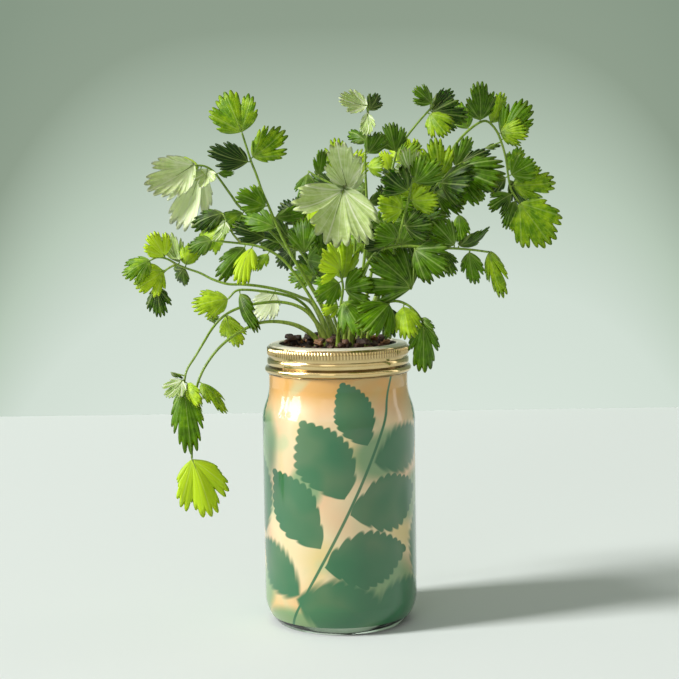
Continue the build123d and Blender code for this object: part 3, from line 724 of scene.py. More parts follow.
@dataclass(frozen=True)
class GoldLacqueredTinplate:
    """Tinplate under clear gold lacquer: rolled, so it is bright, with faint drawn lines round it, painted
    shade in its grooves and a painted highlight on its lip.
    """

    gold: str = "#e6d1a0"
    deep: str = "#cdae70"
    painted_recess_shade: str = "#6f5526"
    painted_lip_highlight: str = "#f4ecd8"
    roughness: float = 0.13
    lip_roughness: float = 0.42
    line_mm: float = 0.25
    cloud_mm: float = 9.0

    def material(self) -> bpy.types.Material:
        """Build the band's finish.

        Returns:
            The material.
        """
        material, tree = new_material("gold_lacquered_tinplate")
        place = add_node(tree, "NewGeometry")
        # depth is how much painted shade darkens the band in its grooves and valleys
        depth, lip = (
            add_node(tree, "Attribute", attribute_name=key).outputs["Fac"] for key in ("depth", "lip")
        )
        # Lines drawn round the band, very long and close together
        squeezed = add_node(tree, "Mapping", {"Vector": place, "Scale": (0.05, 0.05, 1.0)})
        lines = add_node(
            tree, "TexNoise", {"Vector": squeezed, "Scale": pitch(self.line_mm), "Detail": 2.0}
        )
        cloud = add_node(
            tree, "TexNoise", {"Vector": place, "Scale": pitch(self.cloud_mm), "Detail": 3.0}
        )
        colour = add_node(
            tree, "Mix", {0: cloud, 6: linear(self.gold), 7: linear(self.deep)}, data_type="RGBA"
        )
        rough = add_node(
            tree, "MapRange", {0: lines, 1: 0.3, 2: 0.7, 3: self.roughness - 0.04, 4: self.roughness + 0.07}
        )
        bump = add_node(tree, "Bump", {"Height": lines, "Strength": 0.12, "Distance": 0.05 * MM})
        # Painted shade: the grip's valleys and the grooves are darkened towards dark brown, where shade
        # falls in them
        recess_shaded = add_node(tree, "Mix", {0: depth, 6: colour, 7: linear(self.painted_recess_shade)}, data_type="RGBA")
        # Painted highlight: the lip is coloured pale cream, as its bright highlight would look, and is made
        # far less mirror-like and rougher so that this colour shows
        lip_mirror_share = add_node(tree, "MapRange", {0: lip, 3: 1.0, 4: 0.25})
        satin = add_node(tree, "Mix", {0: lip, 2: rough, 3: self.lip_roughness})
        with_lip_highlight = add_node(tree, "Mix", {0: lip, 6: recess_shaded, 7: linear(self.painted_lip_highlight)}, data_type="RGBA")
        surface = {
            "Base Color": with_lip_highlight, "Metallic": lip_mirror_share, "Roughness": satin, "Coat Weight": 0.4,
            "Coat Roughness": 0.08, "Normal": bump,
        }
        close_material(tree, add_node(tree, "BsdfPrincipled", surface))
        return material


@dataclass(frozen=True)
class SodaLimeGlass:
    """Pressed and blown container glass: clear, faintly green in its thick heel."""

    tint: str = "#e6f0e4"
    wave_mm: float = 18.0

    def material(self) -> bpy.types.Material:
        """Build the jar's finish.

        Returns:
            The material.
        """
        material, tree = new_material("soda_lime_glass")
        place = add_node(tree, "NewGeometry")
        # Slow waves that a blown wall has
        waves = add_node(tree, "TexNoise", {"Vector": place, "Scale": pitch(self.wave_mm), "Detail": 1.0})
        bump = add_node(tree, "Bump", {"Height": waves, "Strength": 0.25, "Distance": 0.6 * MM})
        surface = {
            "Base Color": linear(self.tint), "Roughness": 0.02, "IOR": 1.52, "Transmission Weight": 1.0,
            "Normal": bump,
        }
        shader = add_node(tree, "BsdfPrincipled", surface)
        # Clear glass hardly shades what stands behind it, so light passes straight through its wall
        path = add_node(tree, "LightPath").outputs
        soft = add_node(
            tree, "Math", {0: path["Is Shadow Ray"], 1: path["Is Diffuse Ray"]}, operation="MAXIMUM"
        )
        straight = add_node(tree, "BsdfTransparent", {"Color": linear(self.tint)})
        close_material(tree, add_node(tree, "MixShader", {0: soft, 1: shader, 2: straight}))
        return material


@dataclass(frozen=True)
class MouldedPolypropylene:
    """Moulded polypropylene, dark and satin, with the fine grain of its tool."""

    dark: str = "#1c1d1a"
    pale: str = "#2b2c28"
    grain_mm: float = 0.4

    def material(self) -> bpy.types.Material:
        """Build the net pot's finish.

        Returns:
            The material.
        """
        material, tree = new_material("moulded_polypropylene")
        place = add_node(tree, "NewGeometry")
        # Spark-eroded tool grain
        grain = add_node(tree, "TexNoise", {"Vector": place, "Scale": pitch(self.grain_mm), "Detail": 3.0})
        bump = add_node(tree, "Bump", {"Height": grain, "Strength": 0.3, "Distance": 0.08 * MM})
        rough = add_node(tree, "MapRange", {0: grain, 1: 0.3, 2: 0.7, 3: 0.36, 4: 0.52})
        colour = add_node(
            tree, "Mix", {0: grain, 6: linear(self.dark), 7: linear(self.pale)}, data_type="RGBA"
        )
        surface = {"Base Color": colour, "Roughness": rough, "IOR": 1.49, "Normal": bump}
        close_material(tree, add_node(tree, "BsdfPrincipled", surface))
        return material


@dataclass(frozen=True)
class NeedledFelt:
    """Needled felt, off-white and fuzzy, with short fibres lying every way."""

    pale: str = "#d9d6c8"
    shade: str = "#b3af9e"
    fibre_mm: float = 0.3

    def material(self) -> bpy.types.Material:
        """Build the wick's finish.

        Returns:
            The material.
        """
        material, tree = new_material("needled_felt")
        place = add_node(tree, "NewGeometry")
        # Fibres are 0.03 mm thick and are drawn 0.3 mm thick so that they show
        threads = {"Vector": place, "Scale": pitch(self.fibre_mm), "Detail": 5.0, "Distortion": 3.0}
        fibres = add_node(tree, "TexNoise", threads)
        colour = add_node(
            tree, "Mix", {0: fibres, 6: linear(self.shade), 7: linear(self.pale)}, data_type="RGBA"
        )
        bump = add_node(tree, "Bump", {"Height": fibres, "Strength": 0.7, "Distance": 0.3 * MM})
        surface = {
            "Base Color": colour, "Roughness": 0.95, "Sheen Weight": 0.3, "Sheen Roughness": 0.6,
            "Normal": bump,
        }
        close_material(tree, add_node(tree, "BsdfPrincipled", surface))
        return material


@dataclass(frozen=True)
class PrintedShrinkFilm:
    """Printed film shrunk on the glass: a soft print of leaf shadows under a wet-looking gloss."""

    radius_mm: float = 48.2
    height_mm: float = 156.0
    cream: str = "#ebd8ab"
    peach: str = "#ecc598"
    yellow: str = "#e2cd86"
    amber_and_band_shade: str = "#e0a857"
    haze: str = "#bccb9a"
    leaf_green: str = "#17683a"
    far_green: str = "#5a9561"
    near_leaves: tuple = (
        PrintLeaf(18, 48, 58, 33, 6), PrintLeaf(-31, 79, 58, 32, 128), PrintLeaf(34, 82, 56, 32, 12),
        PrintLeaf(-10, 110, 54, 34, 121), PrintLeaf(10, 137, 40, 24, 112), PrintLeaf(76, 132, 42, 24, 80),
    )
    blurred_leaves: tuple = (
        PrintLeaf(2, 15, 62, 38, -16), PrintLeaf(-47, 40, 50, 28, 146), PrintLeaf(46, 114, 50, 27, 16),
        PrintLeaf(46, 16, 60, 32, 4), PrintLeaf(66, 52, 50, 26, 84), PrintLeaf(-66, 84, 50, 28, 96),
    )
    far_leaves: tuple = (
        PrintLeaf(-64, 112, 52, 34, 66), PrintLeaf(-30, 4, 90, 26, 8), PrintLeaf(-70, 20, 46, 30, 30),
        PrintLeaf(34, 26, 84, 44, 150), PrintLeaf(28, 112, 44, 30, 20), PrintLeaf(64, 84, 50, 30, 20),
        PrintLeaf(-22, 92, 30, 24, 80),
    )
    # How much amber there is up the film; the strip under the band is partly painted shade of the band
    amber_and_band_shade_amounts: tuple = (
        (0.06, "#e6e6e6"), (0.24, "#5a5a5a"), (0.55, "#000000"), (0.86, "#4a4a4a"), (0.955, "#ffffff"),
    )
    near_softness: float = 0.05
    blurred_softness: float = 0.19
    far_softness: float = 0.55
    stem_foot: float = -38.0
    stem_slope: float = 0.62
    stem_bend: float = -0.0008
    scallop: float = 0.13
    scallop_turns: float = 15.0
    scallop_lean: float = -0.35
    waver_mm: float = 20.0
    waver_reach_mm: float = 6.0
    far_strength: float = 0.85
    cloud_mm: float = 45.0
    haze_mm: float = 30.0
    depth_mm: float = 26.0
    wave_mm: float = 14.0

    @property
    def half_turn(self) -> float:
        """Half of the wrap's length round the jar's front, in mm."""
        return math.pi * self.radius_mm / 2

    def leaf_places(
        self, tree: bpy.types.NodeTree, place: bpy.types.Node, leaf: PrintLeaf
    ) -> bpy.types.Node:
        """Turn a place on the film to one that counts along and across a leaf, from its middle.

        Args:
            tree: the node tree.
            place: the place on the film, round and up, in mm.
            leaf: the leaf.

        Returns:
            The node that gives the place, where 1 is the leaf's tip or its side.
        """
        apart = add_node(
            tree, "VectorMath", {0: place, 1: (leaf.around, leaf.height, 0)}, operation="SUBTRACT"
        )
        limits = {1: (self.half_turn, 1000, 1), 2: (-self.half_turn, -1000, -1)}
        near = add_node(tree, "VectorMath", {0: apart, **limits}, operation="WRAP")
        size = (leaf.length / 2, leaf.width / 2, 1)
        turn = (0, 0, math.radians(leaf.turn))
        return add_node(
            tree, "Mapping", {"Vector": near, "Rotation": turn, "Scale": size}, vector_type="TEXTURE"
        )

    def pointed(self, tree: bpy.types.NodeTree, turned: bpy.types.Node) -> bpy.types.Node:
        """Measure how far out of a pointed leaf with a scalloped edge a place is: 1 on the edge.

        Args:
            tree: the node tree.
            turned: the place along and across the leaf, from its middle.

        Returns:
            The node that gives the measure.
        """
        parts = add_node(tree, "SeparateXYZ", {0: turned})
        along = parts.outputs["X"]
        square = add_node(tree, "Math", {0: along, 1: along}, operation="MULTIPLY")
        across = add_node(tree, "Math", {0: parts.outputs["Y"]}, operation="ABSOLUTE")
        form = add_node(tree, "Math", {0: square, 1: across}, operation="ADD")
        lean = add_node(tree, "Math", {0: across, 1: self.scallop_lean, 2: along}, operation="MULTIPLY_ADD")
        turns = add_node(tree, "Math", {0: lean, 1: self.scallop_turns}, operation="MULTIPLY")
        wave = add_node(tree, "Math", {0: turns}, operation="SINE")
        teeth = add_node(tree, "Math", {0: wave}, operation="ABSOLUTE")
        return add_node(tree, "Math", {0: teeth, 1: -self.scallop, 2: form}, operation="MULTIPLY_ADD")

    def shadows(
        self, tree: bpy.types.NodeTree, place: bpy.types.Node, leaves: tuple, softness: float
    ) -> bpy.types.Node:
        """Draw leaf shadows over one another: pointed where they are sharp, oval where they are soft.

        Args:
            tree: the node tree.
            place: the place on the film, round and up, in mm.
            leaves: the leaves.
            softness: how far each edge fades, as a share of its size.

        Returns:
            The node that gives 1 inside a shadow.
        """
        covered = None
        for leaf in leaves:
            turned = self.leaf_places(tree, place, leaf)
            if softness < self.far_softness:
                form = self.pointed(tree, turned)
            else:
                form = add_node(tree, "VectorMath", {0: turned, 1: turned}, operation="DOT_PRODUCT")
            edge = {0: form, 1: 1 - softness, 2: 1 + softness, 3: 1.0, 4: 0.0}
            inside = add_node(tree, "MapRange", edge, interpolation_type="SMOOTHSTEP")
            if covered is not None:
                inside = add_node(tree, "Math", {0: covered, 1: inside}, operation="MAXIMUM")
            covered = inside
        return covered

    def stem(self, tree: bpy.types.NodeTree, around: bpy.types.Node, up: bpy.types.Node) -> bpy.types.Node:
        """Draw the bent stem, 2 mm wide, that the sharp leaves sit on.

        Args:
            tree: the node tree.
            around: the place round the jar, in mm.
            up: the height, in mm.

        Returns:
            The node that gives 1 on the stem.
        """
        slope = add_node(
            tree, "Math", {0: up, 1: self.stem_bend, 2: self.stem_slope}, operation="MULTIPLY_ADD"
        )
        middle = add_node(tree, "Math", {0: slope, 1: up, 2: self.stem_foot}, operation="MULTIPLY_ADD")
        limits = {1: self.half_turn, 2: -self.half_turn}
        wrapped = add_node(tree, "Math", {0: around, **limits}, operation="WRAP")
        apart = add_node(tree, "Math", {0: wrapped, 1: middle}, operation="SUBTRACT")
        off = add_node(tree, "Math", {0: apart}, operation="ABSOLUTE")
        edge = {0: off, 1: 0.7, 2: 1.3, 3: 1.0, 4: 0.0}
        return add_node(tree, "MapRange", edge, interpolation_type="SMOOTHSTEP")

    def ground(self, tree: bpy.types.NodeTree, place: bpy.types.Node, up: bpy.types.Node) -> bpy.types.Node:
        """Colour the print's ground: clouds of cream, peach and yellow, amber at the foot and at the
        shoulder, haze; the amber under the band is partly painted shade of the band.

        Args:
            tree: the node tree.
            place: the place in space.
            up: the height, in mm.

        Returns:
            The node that gives the colour.
        """
        cloud = add_node(
            tree, "TexNoise", {"Vector": place, "Scale": pitch(self.cloud_mm), "Detail": 1.0}
        )
        clouds = [(0.32, self.yellow), (0.46, self.cream), (0.60, self.peach), (0.72, self.cream)]
        warm = add_node(tree, "ValToRGB", {"Fac": cloud}, clouds)
        # Amber at the foot, and again under the band, where it is partly the print's warm colour and partly
        # painted shade of the band
        share = add_node(tree, "MapRange", {0: up, 1: 0.0, 2: self.height_mm, 3: 0.0, 4: 1.0})
        amount = add_node(tree, "ValToRGB", {"Fac": share}, self.amber_and_band_shade_amounts)
        ground = add_node(tree, "Mix", {0: amount, 6: warm, 7: linear(self.amber_and_band_shade)}, data_type="RGBA")
        puffs = {"Vector": place, "Scale": pitch(self.haze_mm), "Detail": 1.0, "Distortion": 0.8}
        edge = {0: add_node(tree, "TexNoise", puffs), 1: 0.5, 2: 0.75, 3: 0.0, 4: 0.7}
        mist = add_node(tree, "MapRange", edge, interpolation_type="SMOOTHSTEP")
        return add_node(tree, "Mix", {0: mist, 6: ground, 7: linear(self.haze)}, data_type="RGBA")

    def material(self) -> bpy.types.Material:
        """Build the film's finish.

        Returns:
            The material.
        """
        material, tree = new_material("printed_shrink_film")
        place = add_node(tree, "NewGeometry")
        parts = add_node(tree, "SeparateXYZ", {0: place}).outputs
        back = add_node(tree, "Math", {0: parts["Y"], 1: -1.0}, operation="MULTIPLY")
        angle = add_node(tree, "Math", {0: parts["X"], 1: back}, operation="ARCTAN2")
        around = add_node(tree, "Math", {0: angle, 1: self.radius_mm}, operation="MULTIPLY")
        up = add_node(tree, "Math", {0: parts["Z"], 1: 1 / MM}, operation="MULTIPLY")
        flat = add_node(tree, "CombineXYZ", {"X": around, "Y": up})
        # The edges of the shadows waver by about 2 mm
        waver = add_node(
            tree, "TexNoise", {"Vector": place, "Scale": pitch(self.waver_mm), "Detail": 1.0}
        ).outputs["Color"]
        centred = add_node(tree, "VectorMath", {0: waver, 1: (0.5, 0.5, 0.5)}, operation="SUBTRACT")
        reach = (self.waver_reach_mm, self.waver_reach_mm, 0)
        swing = add_node(tree, "VectorMath", {0: centred, 1: reach}, operation="MULTIPLY")
        moved = add_node(tree, "VectorMath", {0: flat, 1: swing}, operation="ADD")
        sharp = self.shadows(tree, moved, self.near_leaves, self.near_softness)
        blurred = self.shadows(tree, moved, self.blurred_leaves, self.blurred_softness)
        far = self.shadows(tree, moved, self.far_leaves, self.far_softness)
        blades = add_node(tree, "Math", {0: sharp, 1: blurred}, operation="MAXIMUM")
        near = add_node(tree, "Math", {0: blades, 1: self.stem(tree, around, up)}, operation="MAXIMUM")
        far_amount = add_node(tree, "Math", {0: far, 1: self.far_strength}, operation="MULTIPLY")
        behind = {0: far_amount, 6: self.ground(tree, place, up), 7: linear(self.far_green)}
        # Each near shadow is deeper in some places and hazier in others
        depth = add_node(
            tree, "TexNoise", {"Vector": place, "Scale": pitch(self.depth_mm), "Detail": 1.0}
        )
        near_depth = add_node(tree, "MapRange", {0: depth, 1: 0.35, 2: 0.65, 3: 0.93, 4: 1.0})
        near_amount = add_node(tree, "Math", {0: near, 1: near_depth}, operation="MULTIPLY")
        ground = add_node(tree, "Mix", behind, data_type="RGBA")
        colour = add_node(
            tree, "Mix", {0: near_amount, 6: ground, 7: linear(self.leaf_green)}, data_type="RGBA"
        )
        # Slow waves that the shrunk film keeps
        waves = add_node(tree, "TexNoise", {"Vector": place, "Scale": pitch(self.wave_mm), "Detail": 1.0})
        bump = add_node(tree, "Bump", {"Height": waves, "Strength": 0.25, "Distance": 0.8 * MM})
        surface = {
            "Base Color": colour, "Roughness": 0.42, "IOR": 1.5, "Coat Weight": 1.0,
            "Coat Roughness": 0.03, "Coat Normal": bump, "Normal": bump,
        }
        close_material(tree, add_node(tree, "BsdfPrincipled", surface))
        return material


class BladeFrame(NamedTuple):
    """Where a leaflet's solid is: its neck, its three directions, its length and its width."""

    base: np.ndarray
    forward: np.ndarray
    side: np.ndarray
    normal: np.ndarray
    length: float
    width: float


def blade_frame(corners: np.ndarray, faces: list[tuple[np.ndarray, float]]) -> BladeFrame:
    """Find how a bent leaflet solid lies.

    Args:
        corners: its corners.
        faces: the normal and area of each face.

    Returns:
        The frame. Its normal points to the side towards which the leaflet bulges.
    """
    flats: list[list] = []
    for normal, area in faces:
        for flat in flats:
            if abs(float(flat[0] @ normal)) > SAME_WAY:
                flat[1] += area
                break
        else:
            flats.append([normal, area])
    flats.sort(key=lambda flat: -flat[1])
    widest = [flat[0] for flat in flats[:3]]
    first, second = min(combinations(widest, 2), key=lambda pair: abs(float(pair[0] @ pair[1])))
    side = unit(np.cross(first, second))
    level = corners - np.outer(corners @ side, side)
    apart = np.linalg.norm(level[:, None] - level[None, :], axis=2)
    ends = []
    for index in np.unravel_index(int(np.argmax(apart)), apart.shape):
        group = corners[apart[index] < END_REACH]
        ends.append((float(np.ptp(group @ side)), group.mean(axis=0)))
    ends.sort(key=lambda end: -end[0])
    base, tip = ends[0][1], ends[1][1]
    forward = unit(tip - base)
    normal = np.cross(side, forward)
    if float(((corners - base) @ normal).mean()) < 0:
        normal = -normal
    side = np.cross(normal, forward)
    width = 2 * float(np.abs((corners - base) @ side).max())
    return BladeFrame(base, forward, side, normal, float(np.linalg.norm(tip - base)), width)


@dataclass
class Leaflet:
    """One fan-shaped leaflet: round-toothed lobes, a keel along each lobe, a wavy rim."""

    frame: BladeFrame
    chance: random.Random
    rays: int = 169
    rings: tuple = (0.10, 0.28, 0.48, 0.68, 0.85, 1.0)
    thickness: float = 0.24 * MM
    tooth_turn: float = math.radians(8.6)
    cleft_turn: float = math.radians(3.8)
    growth: float = 1.13
    width_growth: float = 1.28
    hanging_share: float = 0.84
    hanging_dip: float = -0.8
    arch: float = 0.42
    waves: float = 7.5
    spread_deg: tuple = (66, 74)
    cleft_deg: tuple = (19, 25)
    outer_cleft_deg: tuple = (50, 56)
    outer_cleft_share: float = 0.75
    cleft_depth: tuple = (0.16, 0.42)
    tooth_depth: tuple = (0.12, 0.17)
    notch_shift: float = 0.2
    folds: tuple = (0.0, 0.2)
    wave_heights: tuple = (0.015, 0.045)
    droops: tuple = (0.0, 0.12)
    most_twist: float = 0.4
    keels: tuple = (0.02, 0.06)
    curls: tuple = (-0.15, 0.85)

    def breadth(self) -> float:
        """How wide the blade is: one that hangs straight down curls in and is narrower."""
        share = self.hanging_share if self.frame.forward[2] < self.hanging_dip else 1.0
        return share * self.width_growth * self.frame.width

    def outline(self) -> tuple[np.ndarray, np.ndarray, np.ndarray, np.ndarray]:
        """Draw the rim: a fan that narrows to the neck, parted by clefts, with round teeth.

        Returns:
            Angles, reaches, how far each ray is from its lobe's middle (in angle), and the same as a
            share of the lobe's half span.
        """
        chance, frame = self.chance, self.frame
        ratio = self.breadth() / (self.growth * frame.length)
        # A broad leaflet opens wider
        spread = math.radians(chance.uniform(*self.spread_deg) + 26 * min(max(ratio - 0.7, 0.0), 0.5))
        angles = np.linspace(-spread, spread, self.rays)
        fullness = min(max(ratio, 0.66), 1.5) ** -2.6
        reach = np.cos(np.clip(angles, -1.45, 1.45)) ** (0.75 * fullness)
        reach *= (1 - np.abs(angles / spread) ** 7) ** 0.5
        clefts = [math.radians(chance.uniform(*self.cleft_deg)) * way for way in (-1, 1)]
        if ratio > 0.8:
            clefts += [math.radians(chance.uniform(*self.outer_cleft_deg)) * way for way in (-1, 1)]
        for index, cleft in enumerate(clefts):
            depth = chance.uniform(*self.cleft_depth) * (1.0 if index < 2 else self.outer_cleft_share)
            near = np.exp(-np.abs((angles - cleft) / self.cleft_turn) ** 1.15)
            reach *= 1 - depth * near
        # Round teeth with sharp notches, which fade out towards the neck
        shift = chance.uniform(-self.notch_shift, self.notch_shift)
        notch = 1 - np.abs(np.cos(math.pi * (angles / self.tooth_turn + shift))) ** 0.7
        toothed = np.clip((0.9 - np.abs(angles / spread)) / 0.2, 0, 1)
        reach *= 1 - chance.uniform(*self.tooth_depth) * notch * toothed
        edges = np.array([-spread, *sorted(clefts), spread])
        lobe = np.clip(np.searchsorted(edges, angles) - 1, 0, len(edges) - 2)
        middle = (edges[lobe] + edges[lobe + 1]) / 2
        offset = angles - middle
        share = np.clip(offset / ((edges[lobe + 1] - edges[lobe]) / 2), -1, 1)
        return angles, reach, offset, share

    def add_to(self, draft: MeshDraft, tone: float) -> None:
        """Add the leaflet's blade.

        Args:
            draft: the mesh that takes it.
            tone: how light it is, from about -0.2 to 0.9.
        """
        frame, chance = self.frame, self.chance
        angles, reach, offset, share = self.outline()
        u_full = reach * np.cos(angles)
        v_full = reach * np.sin(angles)
        u_scale = self.growth * frame.length / u_full.max()
        v_scale = self.breadth() / 2 / np.abs(v_full).max()
        fold = chance.uniform(*self.folds) * chance.choice((1, 1, -1))
        wave, wave_turn = chance.uniform(*self.wave_heights), chance.uniform(0, 2 * math.pi)
        droop = chance.uniform(*self.droops)
        twist = chance.uniform(-self.most_twist, self.most_twist)
        keel, curl = chance.uniform(*self.keels), chance.uniform(*self.curls)
        rings = np.array(self.rings)[:, None]
        u = rings * u_full * u_scale
        v = rings * v_full * v_scale
        x = np.clip(u / frame.length, 0, 1)
        size = frame.length
        height = size * self.arch * x * (1 - x)
        height -= fold * np.abs(v)
        height -= keel * size * rings**1.5 * np.abs(share) ** 1.5
        height += wave * size * rings**2 * np.cos(self.waves * angles + wave_turn)
        height -= droop * size * rings**3
        height -= curl * v**2 / size
        height += twist * v * x
        top = frame.base + u[..., None] * frame.forward + v[..., None] * frame.side
        top = top + height[..., None] * frame.normal
        under = top - self.thickness * frame.normal
        # The underside shares the rim and has points of its own inside it
        inside = (slice(None, -1), slice(1, -1))
        upper = np.arange(1, 1 + u.size).reshape(u.shape)
        lower = upper.copy()
        lower[inside] = 1 + u.size + np.arange(u[inside].size).reshape(u[inside].shape)
        verts = np.vstack([frame.base, top.reshape(-1, 3), under[inside].reshape(-1, 3)])
        out = np.linalg.norm(np.dstack((u, v)), axis=2) / MM
        rib = np.broadcast_to(angles / self.tooth_turn, u.shape)
        fields = {"out": self.tooth_turn * out, "spine": np.abs(offset) * out, "rib": rib}
        values = {
            name: np.concatenate([[0.0], amount.ravel(), amount[inside].ravel()])
            for name, amount in fields.items()
        }
        top_faces = self.fan(upper.tolist())
        slots = np.repeat([LeafSlot.UPPER.value, LeafSlot.UNDER.value], len(top_faces))
        draft.add(verts, top_faces + flipped(self.fan(lower.tolist())), slots, tone=tone, **values)

    def fan(self, grid: list[list[int]]) -> list[tuple[int, ...]]:
        """The faces of one side, from the neck's point 0 outwards, ray by ray.

        Args:
            grid: the numbers of its points, ring by ring.

        Returns:
            The faces.
        """
        faces: list[tuple[int, ...]] = []
        for i in range(self.rays - 1):
            faces.append((0, grid[0][i], grid[0][i + 1]))
            faces += [(a[i], b[i], b[i + 1], a[i + 1]) for a, b in zip(grid, grid[1:])]
        return faces


@dataclass
class Stalk:
    """One stalk of the herb with its forks, and the leaflets that it carries."""

    number: str
    routes: list[Route]
    view: PhotoView
    foot_height: float
    foot_radius: float = 2.1 * MM
    shin_radius: float = 1.15 * MM
    foot_share: float = 0.3
    tip_radius: float = 0.64 * MM
    sprig_radius: float = 0.74 * MM
    sprig_tip_radius: float = 0.5 * MM
    sink: float = 2.0 * MM
    steps: int = 7
    sides: int = 14
    lit_tones: tuple = (-0.24, 0.46)
    shaded_tones: tuple = (-0.12, 0.36)
    shaded_from_px: float = 425.0
    sunlight: float = 0.42
    sunlight_reach_px: float = 34.0
    stalklet_radii: tuple = (0.5 * MM, 0.12 * MM)
    stalklet_ends: tuple = (0.2, 0.5)
    stalklet_drop: float = 0.3 * MM
    stalklet_sides: int = 8

    def lines(self) -> list[np.ndarray]:
        """Find the middle lines of the stalk and its forks.

        Returns:
            The points of one line for each route.
        """
        lines, trunk = [], []
        for route in self.routes:
            points = [self.view.point(*place) for place in route.points]
            if route.fork == GROUND:
                foot = np.array((points[0][0], points[0][1], self.foot_height - self.sink))
                points = [foot, *points]
                trunk = points
            else:
                place = min(route.fork, len(trunk) - 1)
                index = min(int(place), len(trunk) - 2)
                start = trunk[index] + (trunk[index + 1] - trunk[index]) * (place - index)
                points = [start, *points]
            lines.append(smooth_line(np.array(points), self.steps))
        return lines

    def radii(self, line: np.ndarray, is_fork: bool) -> np.ndarray:
        """The stem's radius along its line, widest at the foot.

        Args:
            line: the middle line.
            is_fork: whether it is a fork.

        Returns:
            The radius at each of its points.
        """
        t = np.linspace(0, 1, len(line))
        if is_fork:
            return self.sprig_radius + (self.sprig_tip_radius - self.sprig_radius) * t
        slim = self.tip_radius + (self.shin_radius - self.tip_radius) * (1 - t)
        thick = (self.foot_radius - self.shin_radius) * np.maximum(1 - t / self.foot_share, 0) ** 1.5
        return slim + thick

    def build(self, skin: bpy.types.Material) -> bpy.types.Object:
        """Build the stems as one piece in their skin.

        Args:
            skin: their finish.

        Returns:
            The piece.
        """
        draft = MeshDraft()
        for route, line in zip(self.routes, self.lines()):
            radii = self.radii(line, route.fork != GROUND)
            points = tube_points(line, radii, self.sides, ridges=5, ridge_share=0.06)
            along = np.repeat(np.linspace(0, 1, len(line)), self.sides)
            draft.add(points, tube_faces(len(line), self.sides), along=along)
        return draft.build(f"herb_stem_{self.number}", skin)

    def tone(self, frame: BladeFrame, chance: random.Random) -> float:
        """Choose how light a leaflet is: brighter where the picture is sun-lit, evener on its shaded right.

        Args:
            frame: where the leaflet is.
            chance: its own random numbers.

        Returns:
            The tone, from about -0.2 where it is darkest to 0.9 where it is brightest.
        """
        across, down = self.view.place(frame.base + frame.forward * frame.length / 2)
        near = min(math.hypot(across - a, down - b) for a, b in BRIGHT_PLACES)
        tones = self.shaded_tones if across > self.shaded_from_px else self.lit_tones
        return chance.uniform(*tones) + self.sunlight * max(0.0, 1 - near / self.sunlight_reach_px)

    def stalklet(self, frame: BladeFrame, stem_points: np.ndarray) -> np.ndarray:
        """The line of a leaflet's little stalk, from the stem to the neck and on under the blade.

        Args:
            frame: where the leaflet is.
            stem_points: the points of the stems' middle lines.

        Returns:
            Its points.
        """
        start = stem_points[int(np.argmin(np.linalg.norm(stem_points - frame.base, axis=1)))]
        line = [start, frame.base]
        for x in self.stalklet_ends:
            rise = frame.length * Leaflet.arch * x * (1 - x) - self.stalklet_drop
            line.append(frame.base + frame.forward * frame.length * x + frame.normal * rise)
        return smooth_line(np.array(line), 5)

    def build_leaves(self, node: bpy.types.Object, *finishes: bpy.types.Material) -> bpy.types.Object:
        """Build the leaflets of this stalk where the node has them.

        Args:
            node: the node's object.
            finishes: the finishes of the upper sides, of the undersides and of the little stalks.

        Returns:
            The piece.
        """
        draft = MeshDraft()
        stem_points = np.vstack(self.lines())
        sides = self.stalklet_sides
        for index, (corners, faces) in enumerate(islands(node)):
            frame = blade_frame(corners, faces)
            chance = random.Random(f"{self.number}-{index}")
            tone = self.tone(frame, chance)
            Leaflet(frame, chance).add_to(draft, tone)
            line = self.stalklet(frame, stem_points)
            radii = np.linspace(*self.stalklet_radii, len(line))
            points = tube_points(line, radii, sides, ridges=3, ridge_share=0.05)
            rings = tube_faces(len(line), sides)
            draft.add(points, rings, LeafSlot.STALKLET.value, along=0.9, tone=tone)
        return draft.build(f"herb_leaves_{self.number}", *finishes)


@dataclass
class Herb:
    """The whole herb: its stalks and leaflets, in living finishes."""

    view: PhotoView
    foot_height: float
    body: str = "insert"

    def build(self, nodes: dict[str, bpy.types.Object]) -> None:
        """Build every stalk with its leaflets.

        Args:
            nodes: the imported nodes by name.
        """
        upper = HerbLeafBlade(
            "#1a3200", "#578300", "#bcde22", vein="#c8dc84", roughness=0.40, glow=0.10, vein_strength=0.24
        )
        under = HerbLeafBlade(
            "#86a54c", "#bdd484", "#e6f2c2", vein="#f4fbdd", roughness=0.60, glow=0.14, vein_strength=0.70
        )
        upper_side = upper.material("herb_leaf_upper_side")
        under_side = under.material("herb_leaf_under_side")
        skin = HerbStemSkin().material()
        for number, routes in STALK_ROUTES.items():
            stalk = Stalk(number, routes, self.view, self.foot_height)
            stem = stalk.build(skin)
            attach(stem, self.body)
            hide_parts(f"stalk_{number}")
            leaves = stalk.build_leaves(nodes[f"leaves_{number}"], upper_side, under_side, skin)
            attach(leaves, self.body)
            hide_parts(f"leaves_{number}")
            log.info("stalk %s: %d points", number, len(stem.data.vertices) + len(leaves.data.vertices))


def chunk_template(steps: int) -> tuple[np.ndarray, list[tuple[int, ...]]]:
    """A cube's skin cut into small squares, from -1 to 1.

    Args:
        steps: squares along an edge.

    Returns:
        Its points and faces.
    """
    mesh = bmesh.new()
    bmesh.ops.create_cube(mesh, size=2.0)
    bmesh.ops.subdivide_edges(mesh, edges=mesh.edges, cuts=steps - 1, use_grid_fill=True)
    mesh.verts.ensure_lookup_table()
    points = np.array([v.co for v in mesh.verts])
    faces = [tuple(v.index for v in f.verts) for f in mesh.faces]
    mesh.free()
    return points, faces


